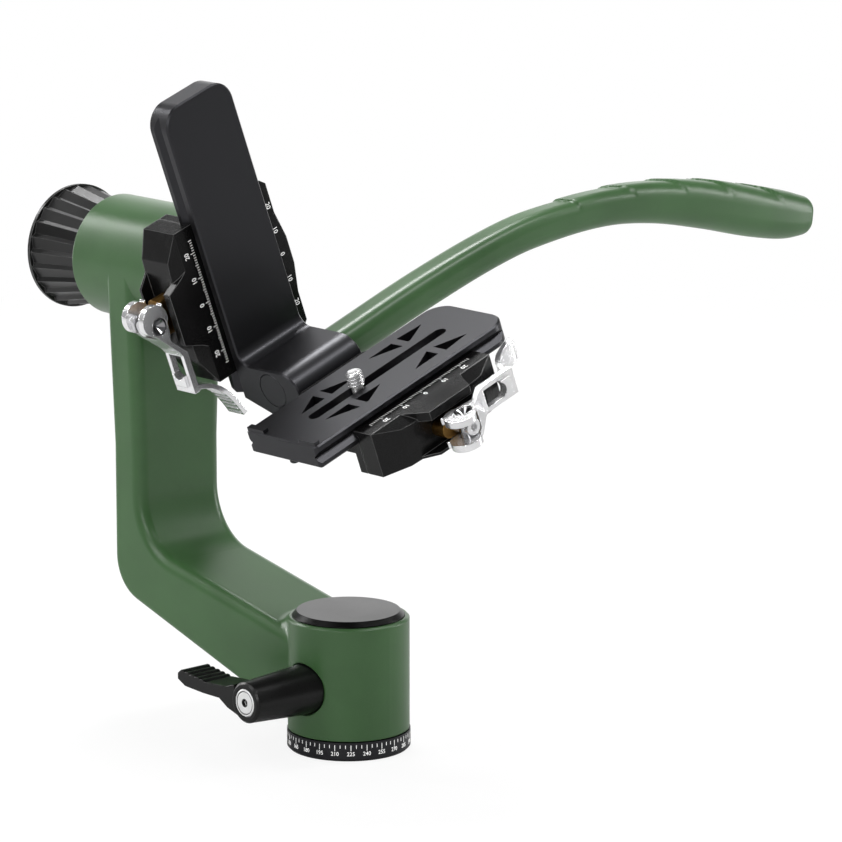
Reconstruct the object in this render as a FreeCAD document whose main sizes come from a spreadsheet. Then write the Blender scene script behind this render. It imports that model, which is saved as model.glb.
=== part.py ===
import FreeCAD
import Part
import math
import os
import Sketcher

# Gimbal tripod head for a long lens, in millimetres, +Z up.
# The origin is the centre of the base's bottom face, on the pan axis.
# +X runs along the tilt axis from the arm to the lens, +Y is where the lens points.
# The tilting parts are drawn level and turned by rest_tilt about the tilt axis.
# Each clamp has a frame of its own: s across the clamped plate towards the moving
# jaw, u along the plate, n out of the clamp's floor.

document = FreeCAD.newDocument("GimbalHead")
sheet = document.addObject("Spreadsheet::Sheet", "Sizes")

# Driving dimensions: name, millimetres or degrees, what it measures.
SIZES = [
    ("fit_gap", 0.05, "radial gap of pieces that are pressed or screwed together"),
    ("running_gap", 0.1, "radial gap of a turning or sliding fit"),
    ("motion_gap", 0.4, "gap beside pieces that move"),
    # base and pan bearing
    ("base_radius", 22.5, "degree ring and base plate, radius"),
    ("base_height", 7.0, "base plate, height"),
    ("base_chamfer", 0.8, "chamfer under the base plate"),
    ("bush_radius", 7.5, "tripod bush, radius"),
    ("bush_height", 12.0, "tripod bush, height"),
    ("thread_minor", 3.97, "3/8-16 tapped bore, minor radius"),
    ("flange_radius", 15.0, "pan spindle flange, radius"),
    ("flange_height", 3.5, "pan spindle flange, height"),
    ("column_radius", 12.0, "pan spindle column, radius"),
    ("neck_radius", 8.0, "pan spindle threaded neck, radius"),
    ("neck_length", 7.5, "pan spindle threaded neck, length"),
    ("thrust_height", 2.4, "pan thrust ring, height"),
    ("sleeve_wall", 2.0, "pan bearing sleeve, wall"),
    ("ledge_height", 33.0, "ledge inside the housing, height"),
    ("washer_height", 1.8, "pan washer, height"),
    ("washer_radius", 16.0, "pan washer, radius"),
    ("nut_height", 4.0, "pan nut, height"),
    ("nut_half_flat", 11.0, "pan nut, half its width across flats"),
    ("base_screw_radius", 1.5, "base screw shank, radius"),
    ("base_screw_head", 2.7, "base screw head, radius"),
    ("base_screw_sink", 1.7, "base screw head, height"),
    ("base_screw_circle", 11.2, "base screws, radius of their circle"),
    ("housing_radius", 22.2, "pan housing, outer radius"),
    ("housing_top", 49.0, "pan housing, height of its rim"),
    ("housing_rim_round", 0.8, "rounding of the housing's rim"),
    ("housing_cavity", 17.0, "pan housing, upper cavity radius"),
    ("cap_radius", 20.4, "base cap rim, radius"),
    ("cap_face_radius", 18.8, "base cap face, radius"),
    ("cap_seat", 45.6, "base cap seat, height"),
    ("cap_rim_height", 49.3, "base cap rim, height of its top"),
    ("cap_top", 51.0, "base cap face, height"),
    ("cap_wall", 2.6, "base cap, thickness of its face"),
    # pan lock
    ("lock_height", 25.0, "pan lock axis, height"),
    ("lock_root_radius", 9.3, "pan lock boss at the housing, radius"),
    ("lock_front_radius", 7.5, "pan lock boss at its front, radius"),
    ("lock_seat", 19.8, "pan lock seat in the housing, distance from the pan axis"),
    ("lock_front", 49.6, "pan lock boss front, distance from the pan axis"),
    ("lock_face_round", 0.9, "bevel round the pan lock's front face"),
    ("stud_radius", 4.0, "pan lock stud, radius"),
    ("stud_front", 43.5, "pan lock stud, front end"),
    ("pad_radius", 3.2, "lock pad, radius"),
    ("pad_back", 16.4, "lock pad, outer end"),
    ("tab_reach", 38.6, "pan lock thumb tab, reach"),
    ("tab_back", 36.0, "pan lock thumb tab, back edge"),
    ("tab_front", 48.5, "pan lock thumb tab, front edge"),
    ("tab_top", 3.6, "pan lock thumb tab, top above the lock's axis"),
    ("tab_under", 1.4, "pan lock thumb tab, underside below the lock's axis"),
    ("tab_ridge", 0.7, "ridges of the thumb tab, height"),
    ("disc_radius", 5.1, "pan lock screw head, radius"),
    ("disc_thickness", 1.6, "pan lock screw head, thickness"),
    ("disc_shank", 2.0, "pan lock screw shank, radius"),
    ("disc_socket", 1.25, "pan lock screw, hexagon half width"),
    # arm and hub
    ("arm_half_width", 20.0, "arm, half width"),
    ("arm_outer", 110.0, "arm, outer face from the pan axis"),
    ("arm_inner", 94.5, "arm, inner face from the pan axis"),
    ("arm_elbow_top", 61.5, "sloping arm's top carried on to the inner face, height"),
    ("arm_elbow_low", 43.1, "sloping arm's underside carried on to the outer face, height"),
    ("arm_root", 6.0, "sloping arm, where it enters the housing"),
    ("arm_root_top", 42.8, "sloping arm's top inside the housing"),
    ("arm_root_low", 10.0, "sloping arm's underside inside the housing"),
    ("arm_outer_bend", 17.0, "arm, radius of the outer bend"),
    ("arm_inner_bend", 22.0, "arm, radius of the inner bend"),
    ("arm_outer_round", 2.4, "arm, rounding of its outer long edges"),
    ("arm_inner_round", 4.5, "arm, rounding of its inner long edges"),
    ("flare_low", 98.0, "height at which the arm starts to widen to the hub"),
    ("hub_radius", 22.8, "hub, radius"),
    ("hub_outer", 130.4, "hub, outer end from the pan axis"),
    ("hub_inner", 80.0, "hub, inner end from the pan axis"),
    ("hub_round", 1.2, "rounding of the hub's ends"),
    ("root_fillet", 4.0, "fillet between arm and housing"),
    ("axis_height", 164.75, "tilt axis, height"),
    ("rest_tilt", 20.46, "tilt of the lens clamp at rest"),
    # tilt spindle and knob
    ("spindle_radius", 9.0, "tilt spindle, radius"),
    ("spindle_flange", 20.5, "tilt spindle flange, radius"),
    ("spindle_thread", 6.0, "tilt spindle threaded end, radius"),
    ("bearing_radius", 14.0, "tilt bearings, outer radius"),
    ("bearing_width", 7.0, "tilt bearings, width"),
    ("hub_bore", 12.5, "hub bore between the bearings, radius"),
    ("disc_gap", 1.0, "friction disc between hub and knob, thickness"),
    ("friction_radius", 17.8, "friction disc, radius"),
    ("knob_inner_radius", 18.6, "knob beside the hub, radius"),
    ("knob_outer_radius", 23.5, "knob rim, radius"),
    ("knob_end", 155.5, "knob, outer end from the pan axis"),
    ("knob_flute", 1.1, "knob flutes, depth"),
    ("knob_rim", 1.3, "plain rim at the knob's outer end, thickness"),
    ("knob_step", 0.4, "plain rim, height above the crests of the flutes"),
    ("knob_dish", 17.0, "dish in the knob's end, radius"),
    ("knob_dish_depth", 3.5, "dish in the knob's end, depth"),
    ("knob_cap_height", 2.5, "knob cap, thickness"),
    ("spindle_short", 3.0, "room between the tilt spindle's end and the knob's cap"),
    ("insert_radius", 9.5, "knob insert, radius"),
    ("insert_length", 16.0, "knob insert, length"),
    # clamps
    ("clamp_half", 30.5, "clamp, half length"),
    ("clamp_depth", 12.7, "clamp, depth below its floor"),
    ("jaw_top", 4.6, "jaws, height above the floor"),
    ("rim_height", 2.0, "rim of a clamped plate under its groove, height"),
    ("groove_depth", 2.2, "groove in the side of a clamped plate, depth"),
    ("lip_gap", 0.12, "gap between a jaw's lip and the plate's groove"),
    ("parting", 0.9, "body's edge inside the plate's edge"),
    ("notch_wall", 3.5, "wall beside the notch in each end of the clamp body"),
    ("notch_depth", 9.5, "notch in each end of the clamp body, depth"),
    ("notch_floor", 4.0, "notch in each end of the clamp body, half width of its floor"),
    ("jaw_wall_end", 5.9, "fixed jaw beyond the plate at its ends"),
    ("jaw_wall_mid", 8.0, "fixed jaw beyond the plate in the middle"),
    ("upper_wall_half", 5.5, "upper clamp, fixed jaw's wide part, half length"),
    ("lower_wall_half", 15.0, "lens clamp, fixed jaw's wide part, half length"),
    ("bar_end", 7.3, "moving jaw beyond the plate at its ends"),
    ("bar_mid", 12.4, "moving jaw beyond the plate at its pocket"),
    ("bar_fold", 20.5, "moving jaw's wide part, half length"),
    ("facet_drop", 2.7, "sloping facet along the moving jaw, drop"),
    ("rim_reach", 17.2, "moving jaw's upper rim beyond the plate"),
    ("rim_half", 10.3, "moving jaw's upper rim, half length at its front"),
    ("rim_foot", 15.5, "moving jaw's upper rim, half length at the bar"),
    ("rim_under", 1.1, "underside of the moving jaw's upper rim"),
    ("flange_under", 1.0, "moving jaw's lower flange, thickness"),
    ("bar_bow", 0.4, "moving jaw's wide part, bow along its front"),
    ("rim_knee", 9.8, "bend in the side of the moving jaw's rim, beyond the plate"),
    ("rim_knee_in", 1.7, "bend in the side of the moving jaw's rim, inside its foot"),
    ("pad_overlap", 4.0, "overlap of two pads that make one piece"),
    ("upper_wall_slope", 11.0, "upper clamp, slope beside the fixed jaw's wide part, length"),
    ("lower_wall_slope", 4.0, "lens clamp, slope beside the fixed jaw's wide part, length"),
    ("wall_corner", 2.2, "corners cut off the ends of a clamp's fixed jaw"),
    ("screw_hex", 1.6, "hex in the draw screw's end, half width"),
    ("screw_hex_depth", 1.5, "hex in the draw screw's end, depth"),
    ("barrel_rim", 0.8, "rim round the dimple in the lever barrel's end"),
    ("barrel_dimple", 2.3, "conical dimple in the lever barrel's end, depth"),
    ("strap_back", 3.0, "back of the lever's strap inside the pivot"),
    ("strap_heel", 4.8, "heel of the lever's strap behind the cam's middle"),
    ("catch_gap", 0.4, "catch behind the grip's rear face"),
    ("spring_pitch", 1.4, "jaw spring, pitch"),
    ("screw_level", 5.4, "draw screw, depth below the floor"),
    ("screw_radius", 3.0, "draw screw, radius"),
    ("screw_head", 4.8, "draw screw head, radius"),
    ("screw_head_length", 3.0, "draw screw head, length"),
    ("guide_radius", 2.5, "guide pins, radius"),
    ("guide_place", 22.0, "guide pins, distance from the clamp's middle"),
    ("guide_length", 20.0, "guide pins, length"),
    ("spring_place", 7.0, "jaw springs, distance from the clamp's middle"),
    ("spring_bore", 2.3, "jaw spring pockets, radius"),
    ("spring_wire", 0.35, "jaw spring wire, radius"),
    ("spring_coil", 1.7, "jaw spring coil, mean radius"),
    ("spring_depth", 5.0, "jaw spring pockets, depth in each piece"),
    ("brass_half", 7.8, "brass shoe, half length along the clamp"),
    ("brass_radius", 3.2, "brass shoe, radius of its ends"),
    ("jaw_travel", 0.9, "travel of the moving jaw"),
    ("pin_reach", 22.8, "lever pivot beyond the plate's edge"),
    ("cam_radius", 5.85, "cam of the lever, radius"),
    ("cam_out", 0.9, "cam of the lever, offset from its pivot away from the plate"),
    ("cam_near", 2.9, "cam of the lever, offset from its pivot against the grip"),
    ("barrel_radius", 3.4, "lever barrel, radius"),
    ("screw_proud", 3.5, "draw screw, end beyond the lever's pivot"),
    ("ear_top", 0.7, "lever's upper ear, top"),
    ("ear_bottom", 11.5, "lever's lower ear, underside below the floor"),
    ("ear_thickness", 2.6, "lever's ears, thickness"),
    ("ear_reach", 5.4, "gap between the lever's ears, length past the pivot"),
    ("grip_inset", 6.0, "lever grip, front face inside the pivot"),
    ("grip_thickness", 2.6, "lever grip, thickness"),
    ("grip_start", 13.5, "lever grip, start along the clamp"),
    ("grip_end", 31.2, "lever grip, end along the clamp"),
    ("grip_top", 0.7, "lever grip, top above the floor"),
    ("grip_bottom", 9.6, "lever grip, underside below the floor"),
    ("window_frame", 1.7, "frame round the window in the grip, width"),
    ("tail_top", 0.5, "lever's tail, top below the floor"),
    ("tail_bottom", 9.3, "lever's tail, underside below the floor"),
    ("tail_thickness", 1.9, "lever's tail, thickness"),
    ("catch_length", 4.6, "safety catch, length along the grip"),
    ("catch_proud", 1.3, "safety catch, height over the grip"),
    ("catch_scoop", 3.0, "safety catch, radius of its finger scoop"),
    ("mount_radius", 2.0, "screws that hold the clamps, shank radius"),
    ("mount_head", 3.5, "screws that hold the clamps, head radius"),
    ("mount_head_length", 3.6, "screws that hold the clamps, head length"),
    ("mount_sink", 0.3, "upper clamp's screws, sink of their heads in the floor"),
    ("mount_across", 9.0, "upper clamp's screws, distance from the middle across"),
    ("mount_along", 13.0, "clamp screws, distance from the middle along the clamp"),
    ("mount_upper_length", 13.0, "upper clamp's screws, shank length"),
    ("mount_lower_length", 26.5, "lens clamp's screws, shank length"),
    ("lens_head_seat", 14.0, "lens clamp's screws, seat of their heads from the middle"),
    ("lens_screw_level", 5.5, "lens clamp's screws, depth below the floor"),
    # bracket
    ("upper_floor", 62.0, "floor of the upper clamp from the pan axis"),
    ("bracket_half", 16.3, "bracket, half width"),
    ("bracket_front", 52.5, "bracket's upright, front face from the pan axis"),
    ("bracket_top", 75.8, "bracket's upright, top above the tilt axis"),
    ("bracket_corner", 8.5, "bracket's upright, corner radius"),
    ("foot_top", 26.4, "bracket's foot, top below the tilt axis"),
    ("foot_nose", 22.0, "bracket's foot, nose from the pan axis"),
    ("foot_nose_round", 9.0, "bracket's foot, radius of its nose"),
    ("foot_heel", 39.3, "bracket's heel, underside below the tilt axis"),
    ("foot_nose_low", 51.8, "bracket's foot, underside at the nose below the tilt axis"),
    ("foot_inner_round", 5.0, "radius between upright and foot"),
    ("handle_x", 37.5, "handle axis from the pan axis"),
    ("handle_drop", 34.8, "handle bolt below the tilt axis"),
    ("plug_radius", 6.8, "bracket plug, radius"),
    ("plug_thickness", 3.0, "bracket plug, thickness"),
    ("bolt_radius", 3.0, "handle bolt, shank radius"),
    ("bolt_head", 5.0, "handle bolt, head radius"),
    ("bolt_head_length", 5.0, "handle bolt, head length"),
    ("bolt_length", 40.0, "handle bolt, shank length"),
    # lens plate
    ("lens_half", 19.0, "lens plate, half width"),
    ("lens_x", 5.0, "lens plate's middle, towards the lens from the pan axis"),
    ("lens_floor", 37.7, "floor of the lens clamp below the tilt axis"),
    ("lens_thickness", 8.7, "lens plate, thickness"),
    ("lens_length", 49.7, "lens plate, half length"),
    ("lens_corner", 8.5, "lens plate, radius of its front corners"),
    ("lens_tab_height", 1.3, "stop tabs at the rear of the lens plate, height"),
    ("lens_tab_depth", 3.0, "stop tabs at the rear of the lens plate, depth"),
    ("lens_tab_inner", 9.5, "stop tabs, inner edges from the middle"),
    ("slot_half", 2.5, "screw slot, half width"),
    ("slot_end", 32.0, "screw slot, end from the plate's middle"),
    ("slot_under_half", 5.8, "head room under the slot, half width"),
    ("slot_under", 4.9, "head room under the slot, depth"),
    ("stop_radius", 2.0, "stop pins under the plate, radius"),
    ("stop_place", 46.0, "stop pins, distance from the plate's middle"),
    ("stop_drop", 2.4, "stop pins, drop below the plate"),
    ("camera_place", 10.5, "camera screw, distance behind the plate's middle"),
    ("camera_thread", 3.175, "1/4-20 camera screw, radius"),
    ("camera_neck", 2.3, "camera screw neck, radius"),
    ("camera_head", 5.3, "camera screw head, radius"),
    ("camera_head_height", 3.4, "camera screw head, height"),
    ("camera_collar", 0.8, "slide washer, thickness"),
    ("camera_top", 6.4, "camera screw, height above the plate"),
    ("camera_start", 2.05, "camera screw, start of the thread above the plate"),
    ("camera_groove", 0.65, "camera screw, depth of the thread"),
    ("camera_driver", 0.8, "camera screw, half width of the coin slot"),
    ("camera_driver_depth", 1.5, "camera screw, depth of the coin slot"),
    ("camera_pitch", 1.27, "camera screw, thread pitch"),
]

SIZE = {}
for row, (alias, value, meaning) in enumerate(SIZES, start=1):
    sheet.set(f"A{row}", alias)
    sheet.set(f"B{row}", str(value))
    sheet.set(f"C{row}", meaning)
    sheet.setAlias(f"B{row}", alias)
    SIZE[alias] = value
document.recompute()

TILT = "placement(vector(0;0;axis_height);rotation(vector(1;0;0);rest_tilt))"
UPPER = (TILT + "*placement(vector(-upper_floor;0;0);rotation(vector(1;0;0);-90))"
         "*placement(vector(0;0;0);rotation(vector(0;1;0);90))")
LOWER = TILT + "*placement(vector(lens_x;0;-lens_floor);rotation(vector(0;0;1);0))"
nodes = []


def bound(text):
    """Return an expression in which each size name points at its cell."""
    result = ""
    word = ""
    for letter in str(text) + " ":
        if letter.isalnum() or letter == "_":
            word += letter
            continue
        result += ("Sizes." + word if word in SIZE else word) + letter
        word = ""
    return result.strip()


def shift(x="0", y="0", z="0"):
    """Return a placement expression that moves by x, y and z."""
    return f"*placement(vector({x};{y};{z});rotation(vector(0;0;1);0))"


def straight(axis):
    """Choose straight edges that run along an axis given as a letter."""
    direction = FreeCAD.Vector(*[float(letter == axis) for letter in "xyz"])

    def test(edge):
        if edge.Curve.TypeId != "Part::GeomLine":
            return False
        return abs(abs(edge.tangentAt(edge.FirstParameter).dot(direction)) - 1) < 1e-6
    return test


def near(x, z):
    """Choose edges whose middle lies within a millimetre of a bound place seen from the side."""
    place = (evaluate(x), evaluate(z))

    def test(edge):
        middle = edge.valueAt((edge.FirstParameter + edge.LastParameter) / 2)
        return abs(middle.x - place[0]) < 1 and abs(middle.z - place[1]) < 1
    return test


class Solid:
    """A part body drawn from sketches whose sizes are bound to the sheet."""

    def __init__(self, label, placement="placement(vector(0;0;0);rotation(vector(0;0;1);0))",
                 node=True):
        self.body = document.addObject("PartDesign::Body", label)
        self.body.Label = label
        self.body.setExpression("Placement", bound(placement))
        if node:
            nodes.append(self.body)

    def sketch(self, plane, level, shapes):
        """Draw closed shapes on an origin plane, level millimetres along its normal."""
        drawing = self.body.newObject("Sketcher::SketchObject", "Sketch")
        role = f"{plane}_Plane"
        support = [part for part in self.body.Origin.OriginFeatures if part.Role == role]
        drawing.AttachmentSupport = [(support[0], "")]
        drawing.MapMode = "FlatFace"
        drawing.setExpression(".AttachmentOffset.Base.z", bound(level))
        for shape in shapes:
            if len(shape) == 3 and not isinstance(shape[0], tuple):
                self.circle(drawing, *shape)
            else:
                self.polygon(drawing, shape)
        return drawing

    def size(self, drawing, kind, item, value):
        """Add one bound dimension to a sketch."""
        number = drawing.addConstraint(Sketcher.Constraint(kind, *item))
        name = f"size_{number}"
        drawing.renameConstraint(number, name)
        drawing.setExpression(f"Constraints.{name}", bound(value))

    def circle(self, drawing, across, along, radius):
        """Draw a circle with its centre and radius bound."""
        axis = FreeCAD.Vector(0, 0, 1)
        middle = FreeCAD.Vector(evaluate(across), evaluate(along), 0)
        index = drawing.addGeometry(Part.Circle(middle, axis, evaluate(radius)), False)
        self.size(drawing, "Radius", (index, evaluate(radius)), radius)
        self.pin(drawing, index, 3, across, along)

    def pin(self, drawing, index, point, across, along):
        """Hold a point of a sketch at two bound distances from the origin."""
        for kind, value in (("DistanceX", across), ("DistanceY", along)):
            self.size(drawing, kind, (-1, 1, index, point, evaluate(value)), value)

    def polygon(self, drawing, points):
        """Draw a closed outline of straight lines through bound points."""
        places = [FreeCAD.Vector(evaluate(a), evaluate(b), 0) for a, b in points]
        first = drawing.GeometryCount
        count = len(places)
        for index in range(count):
            line = Part.LineSegment(places[index], places[(index + 1) % count])
            drawing.addGeometry(line, False)
        for index in range(count):
            following = first + (index + 1) % count
            drawing.addConstraint(Sketcher.Constraint("Coincident", first + index, 2, following, 1))
        for index, (across, along) in enumerate(points):
            self.pin(drawing, first + index, 1, across, along)

    def pad(self, plane, low, high, *shapes):
        """Add material between two levels along a plane's world axis."""
        level = f"-({high})" if plane == "XZ" else low
        feature = self.body.newObject("PartDesign::Pad", "Pad")
        feature.Profile = self.sketch(plane, level, shapes)
        feature.setExpression("Length", bound(f"({high})-({low})"))
        return self.settle(feature)

    def bevel(self, plane, level, height, shape, backward):
        """Add a 45 degree bevel on an outline, forward or backward along its normal."""
        feature = self.body.newObject("PartDesign::Pad", "Pad")
        feature.Profile = self.sketch(plane, level, [shape])
        feature.Reversed = backward
        feature.TaperAngle = -45
        feature.setExpression("Length", bound(height))
        return self.settle(feature)

    def cut(self, plane, low, high, *shapes):
        """Remove material between two levels along a plane's world axis."""
        before = self.body.Tip.Shape.Volume
        level = f"-({low})" if plane == "XZ" else high
        feature = self.body.newObject("PartDesign::Pocket", "Pocket")
        feature.Profile = self.sketch(plane, level, shapes)
        feature.setExpression("Length", bound(f"({high})-({low})"))
        self.settle(feature)
        if feature.Shape.Volume >= before:
            raise ValueError(f"{self.body.Label}: a pocket removes nothing")
        return feature

    def turn(self, plane, axis, *shapes):
        """Revolve shapes a full turn about a sketch's own axis."""
        feature = self.body.newObject("PartDesign::Revolution", "Revolution")
        feature.Profile = self.sketch(plane, "0", shapes)
        feature.ReferenceAxis = (feature.Profile[0], [axis])
        feature.Angle = 360
        return self.settle(feature)

    def groove(self, plane, axis, *shapes):
        """Remove what shapes sweep in a full turn about a sketch's own axis."""
        before = self.body.Tip.Shape.Volume
        feature = self.body.newObject("PartDesign::Groove", "Groove")
        feature.Profile = self.sketch(plane, "0", shapes)
        feature.ReferenceAxis = (feature.Profile[0], [axis])
        feature.Angle = 360
        self.settle(feature)
        if feature.Shape.Volume >= before:
            raise ValueError(f"{self.body.Label}: a groove removes nothing")
        return feature

    def soften(self, kind, size, *tests):
        """Fillet or chamfer the edges that pass every test."""
        base = self.body.Tip
        names = []
        for number, edge in enumerate(base.Shape.Edges, start=1):
            if all(test(edge) for test in tests):
                names.append(f"Edge{number}")
        if not names:
            raise ValueError(f"{self.body.Label}: no edge to soften")
        feature = self.body.newObject(f"PartDesign::{kind}", kind)
        feature.Base = (base, names)
        feature.setExpression("Radius" if kind == "Fillet" else "Size", bound(size))
        return self.settle(feature)

    def settle(self, feature):
        """Recompute and refuse a feature that failed."""
        document.recompute()
        if "Invalid" in feature.State or not feature.Shape.isValid():
            raise ValueError(f"{self.body.Label}: {feature.Name} failed")
        return feature


def evaluate(text):
    """Work out an expression of size names as a number."""
    value = sheet.evalExpression(bound(text).replace("Sizes.", ""))
    return float(value.Value if hasattr(value, "Value") else value)


def rectangle(left, low, right, high):
    """Return a rectangle's corners from its sides."""
    return [(left, low), (right, low), (right, high), (left, high)]


def mirrored(points):
    """Return an outline mirrored across the sketch's vertical axis."""
    return [(f"-({a})", b) for a, b in reversed(points)]


def group(label, members, placement):
    """Gather separate identical solids under one node."""
    gathered = document.addObject("Part::Compound", label)
    gathered.Label = label
    gathered.Links = members
    gathered.setExpression("Placement", bound(placement))
    document.recompute()
    nodes.append(gathered)
    return gathered


def socket_screw(placement, shank, length, head, head_length):
    """Return a socket head screw whose head's outer face is at its own origin."""
    screw = Solid("Screw", placement, node=False)
    screw.turn("XZ", "V_Axis", [("0", "0"), (head, "0"), (head, f"-({head_length})"),
                                (shank, f"-({head_length})"),
                                (shank, f"-({head_length})-({length})"),
                                ("0", f"-({head_length})-({length})")])
    reach = f"({head})*0.5"
    corners = [(f"{reach}*cos({60 * step})", f"{reach}*sin({60 * step})") for step in range(6)]
    screw.cut("XY", f"-({head_length})*0.6", "0", corners)
    return screw.body


# ---- base and pan bearing ----
base_plate = Solid("base_plate")
base_plate.turn("XZ", "V_Axis", [
    ("bush_radius+fit_gap", "0"), ("base_radius-base_chamfer", "0"),
    ("base_radius", "base_chamfer"), ("base_radius", "base_height"),
    ("bush_radius+fit_gap", "base_height")])
screw_places = [(f"base_screw_circle*cos({45 + 90 * turn})",
                 f"base_screw_circle*sin({45 + 90 * turn})") for turn in range(4)]
base_plate.cut("XY", "0", "base_height",
               *[(x, y, "base_screw_radius+fit_gap") for x, y in screw_places])
base_plate.cut("XY", "0", "base_screw_sink",
               *[(x, y, "base_screw_head+fit_gap") for x, y in screw_places])

thread_bush = Solid("tripod_thread_bush")
thread_bush.turn("XZ", "V_Axis", rectangle("thread_minor", "0", "bush_radius", "bush_height"))

FLANGE_TOP = "base_height+flange_height"
THRUST_TOP = FLANGE_TOP + "+thrust_height"
COLUMN_TOP = "ledge_height-fit_gap"
pan_spindle = Solid("pan_spindle")
pan_spindle.turn("XZ", "V_Axis", [
    ("bush_radius+fit_gap", "base_height"), ("flange_radius", "base_height"),
    ("flange_radius", FLANGE_TOP), ("column_radius", FLANGE_TOP),
    ("column_radius", COLUMN_TOP), ("neck_radius", COLUMN_TOP),
    ("neck_radius", COLUMN_TOP + "+neck_length"), ("0", COLUMN_TOP + "+neck_length"),
    ("0", "bush_height"), ("bush_radius+fit_gap", "bush_height")])
pan_spindle.cut("XY", "base_height", FLANGE_TOP,
                *[(x, y, "base_screw_radius+fit_gap") for x, y in screw_places])

UPSIDE_DOWN = "placement(vector({};{};0);rotation(vector(1;0;0);180))"
group("base_screws", [
    socket_screw(UPSIDE_DOWN.format(x, y), "base_screw_radius",
                 FLANGE_TOP + "-base_screw_sink-fit_gap", "base_screw_head", "base_screw_sink")
    for x, y in screw_places], "placement(vector(0;0;0);rotation(vector(0;0;1);0))")

thrust_ring = Solid("pan_thrust_ring")
thrust_ring.turn("XZ", "V_Axis", rectangle(
    "column_radius+motion_gap", FLANGE_TOP, "flange_radius", THRUST_TOP))

SLEEVE_RADIUS = "column_radius+running_gap+sleeve_wall"
sleeve = Solid("pan_bearing_sleeve")
sleeve.turn("XZ", "V_Axis", rectangle(
    "column_radius+running_gap", THRUST_TOP + "+motion_gap", SLEEVE_RADIUS,
    "ledge_height-motion_gap"))
sleeve.cut("XZ", "-flange_radius", "0", ("0", "lock_height", "pad_radius+motion_gap"))

pan_washer = Solid("pan_washer")
pan_washer.turn("XZ", "V_Axis", rectangle(
    "neck_radius+fit_gap", "ledge_height", "washer_radius", "ledge_height+washer_height"))

NUT_SEAT = "ledge_height+washer_height"
nut_corners = [(f"nut_half_flat/cos(30)*cos({60 * step})",
                f"nut_half_flat/cos(30)*sin({60 * step})") for step in range(6)]
pan_nut = Solid("pan_nut")
pan_nut.pad("XY", NUT_SEAT, NUT_SEAT + "+nut_height", nut_corners,
            ("0", "0", "neck_radius+fit_gap"))

base_cap = Solid("base_cap")
base_cap.turn("XZ", "V_Axis", [
    ("housing_cavity", "cap_seat"), ("cap_radius", "cap_seat"), ("cap_radius", "cap_rim_height"),
    ("cap_face_radius", "cap_top"), ("0", "cap_top"), ("0", "cap_top-cap_wall"),
    ("housing_cavity", "cap_top-cap_wall")])

# ---- arm, one casting with the pan housing and the hub ----
main_arm = Solid("main_arm")
main_arm.pad("XZ", "-hub_radius", "hub_radius", [
    ("-arm_outer", "axis_height"), ("-arm_outer", "arm_elbow_low"),
    ("-arm_root", "arm_root_low"), ("-arm_root", "arm_root_top"),
    ("-arm_inner", "arm_elbow_top"), ("-arm_inner", "axis_height")])
outside = "hub_radius+motion_gap"
flare = [("arm_half_width", "0"), ("arm_half_width", "flare_low"), ("hub_radius", "axis_height"),
         (outside, "axis_height"), (outside, "0")]
main_arm.cut("YZ", "-arm_outer-motion_gap", "0", flare, mirrored(flare))
main_arm.soften("Fillet", "arm_outer_bend", straight("y"),
                near("-arm_outer", "arm_elbow_low"))
main_arm.soften("Fillet", "arm_inner_bend", straight("y"),
                near("-arm_inner", "arm_elbow_top"))


def lengthwise(edge):
    """Tell whether an edge runs along one of the arm's sides."""
    box = edge.BoundBox
    flare = SIZE["hub_radius"] - SIZE["arm_half_width"] + 1
    beside = abs(edge.CenterOfMass.y) > 0.75 * SIZE["arm_half_width"]
    return beside and box.YLength < flare and box.ZLength > 1


def inner(edge):
    """Tell whether an edge is on the arm's top or inner side."""
    return edge.BoundBox.XMin > -SIZE["arm_inner"] - 1 and edge.BoundBox.ZMax > SIZE["arm_elbow_low"]


main_arm.soften("Fillet", "arm_inner_round", lengthwise, inner,
                lambda edge: edge.BoundBox.XMax < -SIZE["arm_root"] + 1)
main_arm.soften("Fillet", "arm_outer_round", lengthwise, lambda edge: not inner(edge),
                lambda edge: edge.CenterOfMass.z < SIZE["axis_height"] - 1)
HUB = ("0", "axis_height", "hub_radius")
main_arm.pad("YZ", "-hub_outer+hub_round", "-hub_inner-hub_round", HUB)
main_arm.bevel("YZ", "-hub_inner-hub_round", "hub_round", HUB, False)
main_arm.bevel("YZ", "-hub_outer+hub_round", "hub_round", HUB, True)
HOUSING = ("0", "0", "housing_radius")
main_arm.pad("XY", "base_height+motion_gap", "housing_top-housing_rim_round", HOUSING)
main_arm.bevel("XY", "housing_top-housing_rim_round", "housing_rim_round", HOUSING, False)
main_arm.soften("Fillet", "root_fillet", straight("z"),
                lambda edge: abs(abs(edge.CenterOfMass.y) - SIZE["arm_half_width"]) < 0.1,
                lambda edge: -SIZE["housing_radius"] < edge.CenterOfMass.x < -SIZE["arm_root"])
main_arm.groove("XZ", "V_Axis", [
    ("0", "base_height"), ("flange_radius+motion_gap", "base_height"),
    ("flange_radius+motion_gap", THRUST_TOP), (SLEEVE_RADIUS + "+fit_gap", THRUST_TOP),
    (SLEEVE_RADIUS + "+fit_gap", "ledge_height"), ("housing_cavity", "ledge_height"),
    ("housing_cavity", "cap_seat"), ("cap_radius+fit_gap", "cap_seat"),
    ("cap_radius+fit_gap", "housing_top+1"), ("0", "housing_top+1")])
main_arm.cut("XZ", "-base_radius", "-lock_seat",
             ("0", "lock_height", "lock_root_radius+motion_gap"))
main_arm.cut("XZ", "-base_radius", "-column_radius", ("0", "lock_height", "stud_radius+fit_gap"))
main_arm.cut("YZ", "-hub_outer", "-hub_inner", ("0", "axis_height", "hub_bore"))
BEARING_SEAT = "bearing_width+motion_gap"
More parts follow.
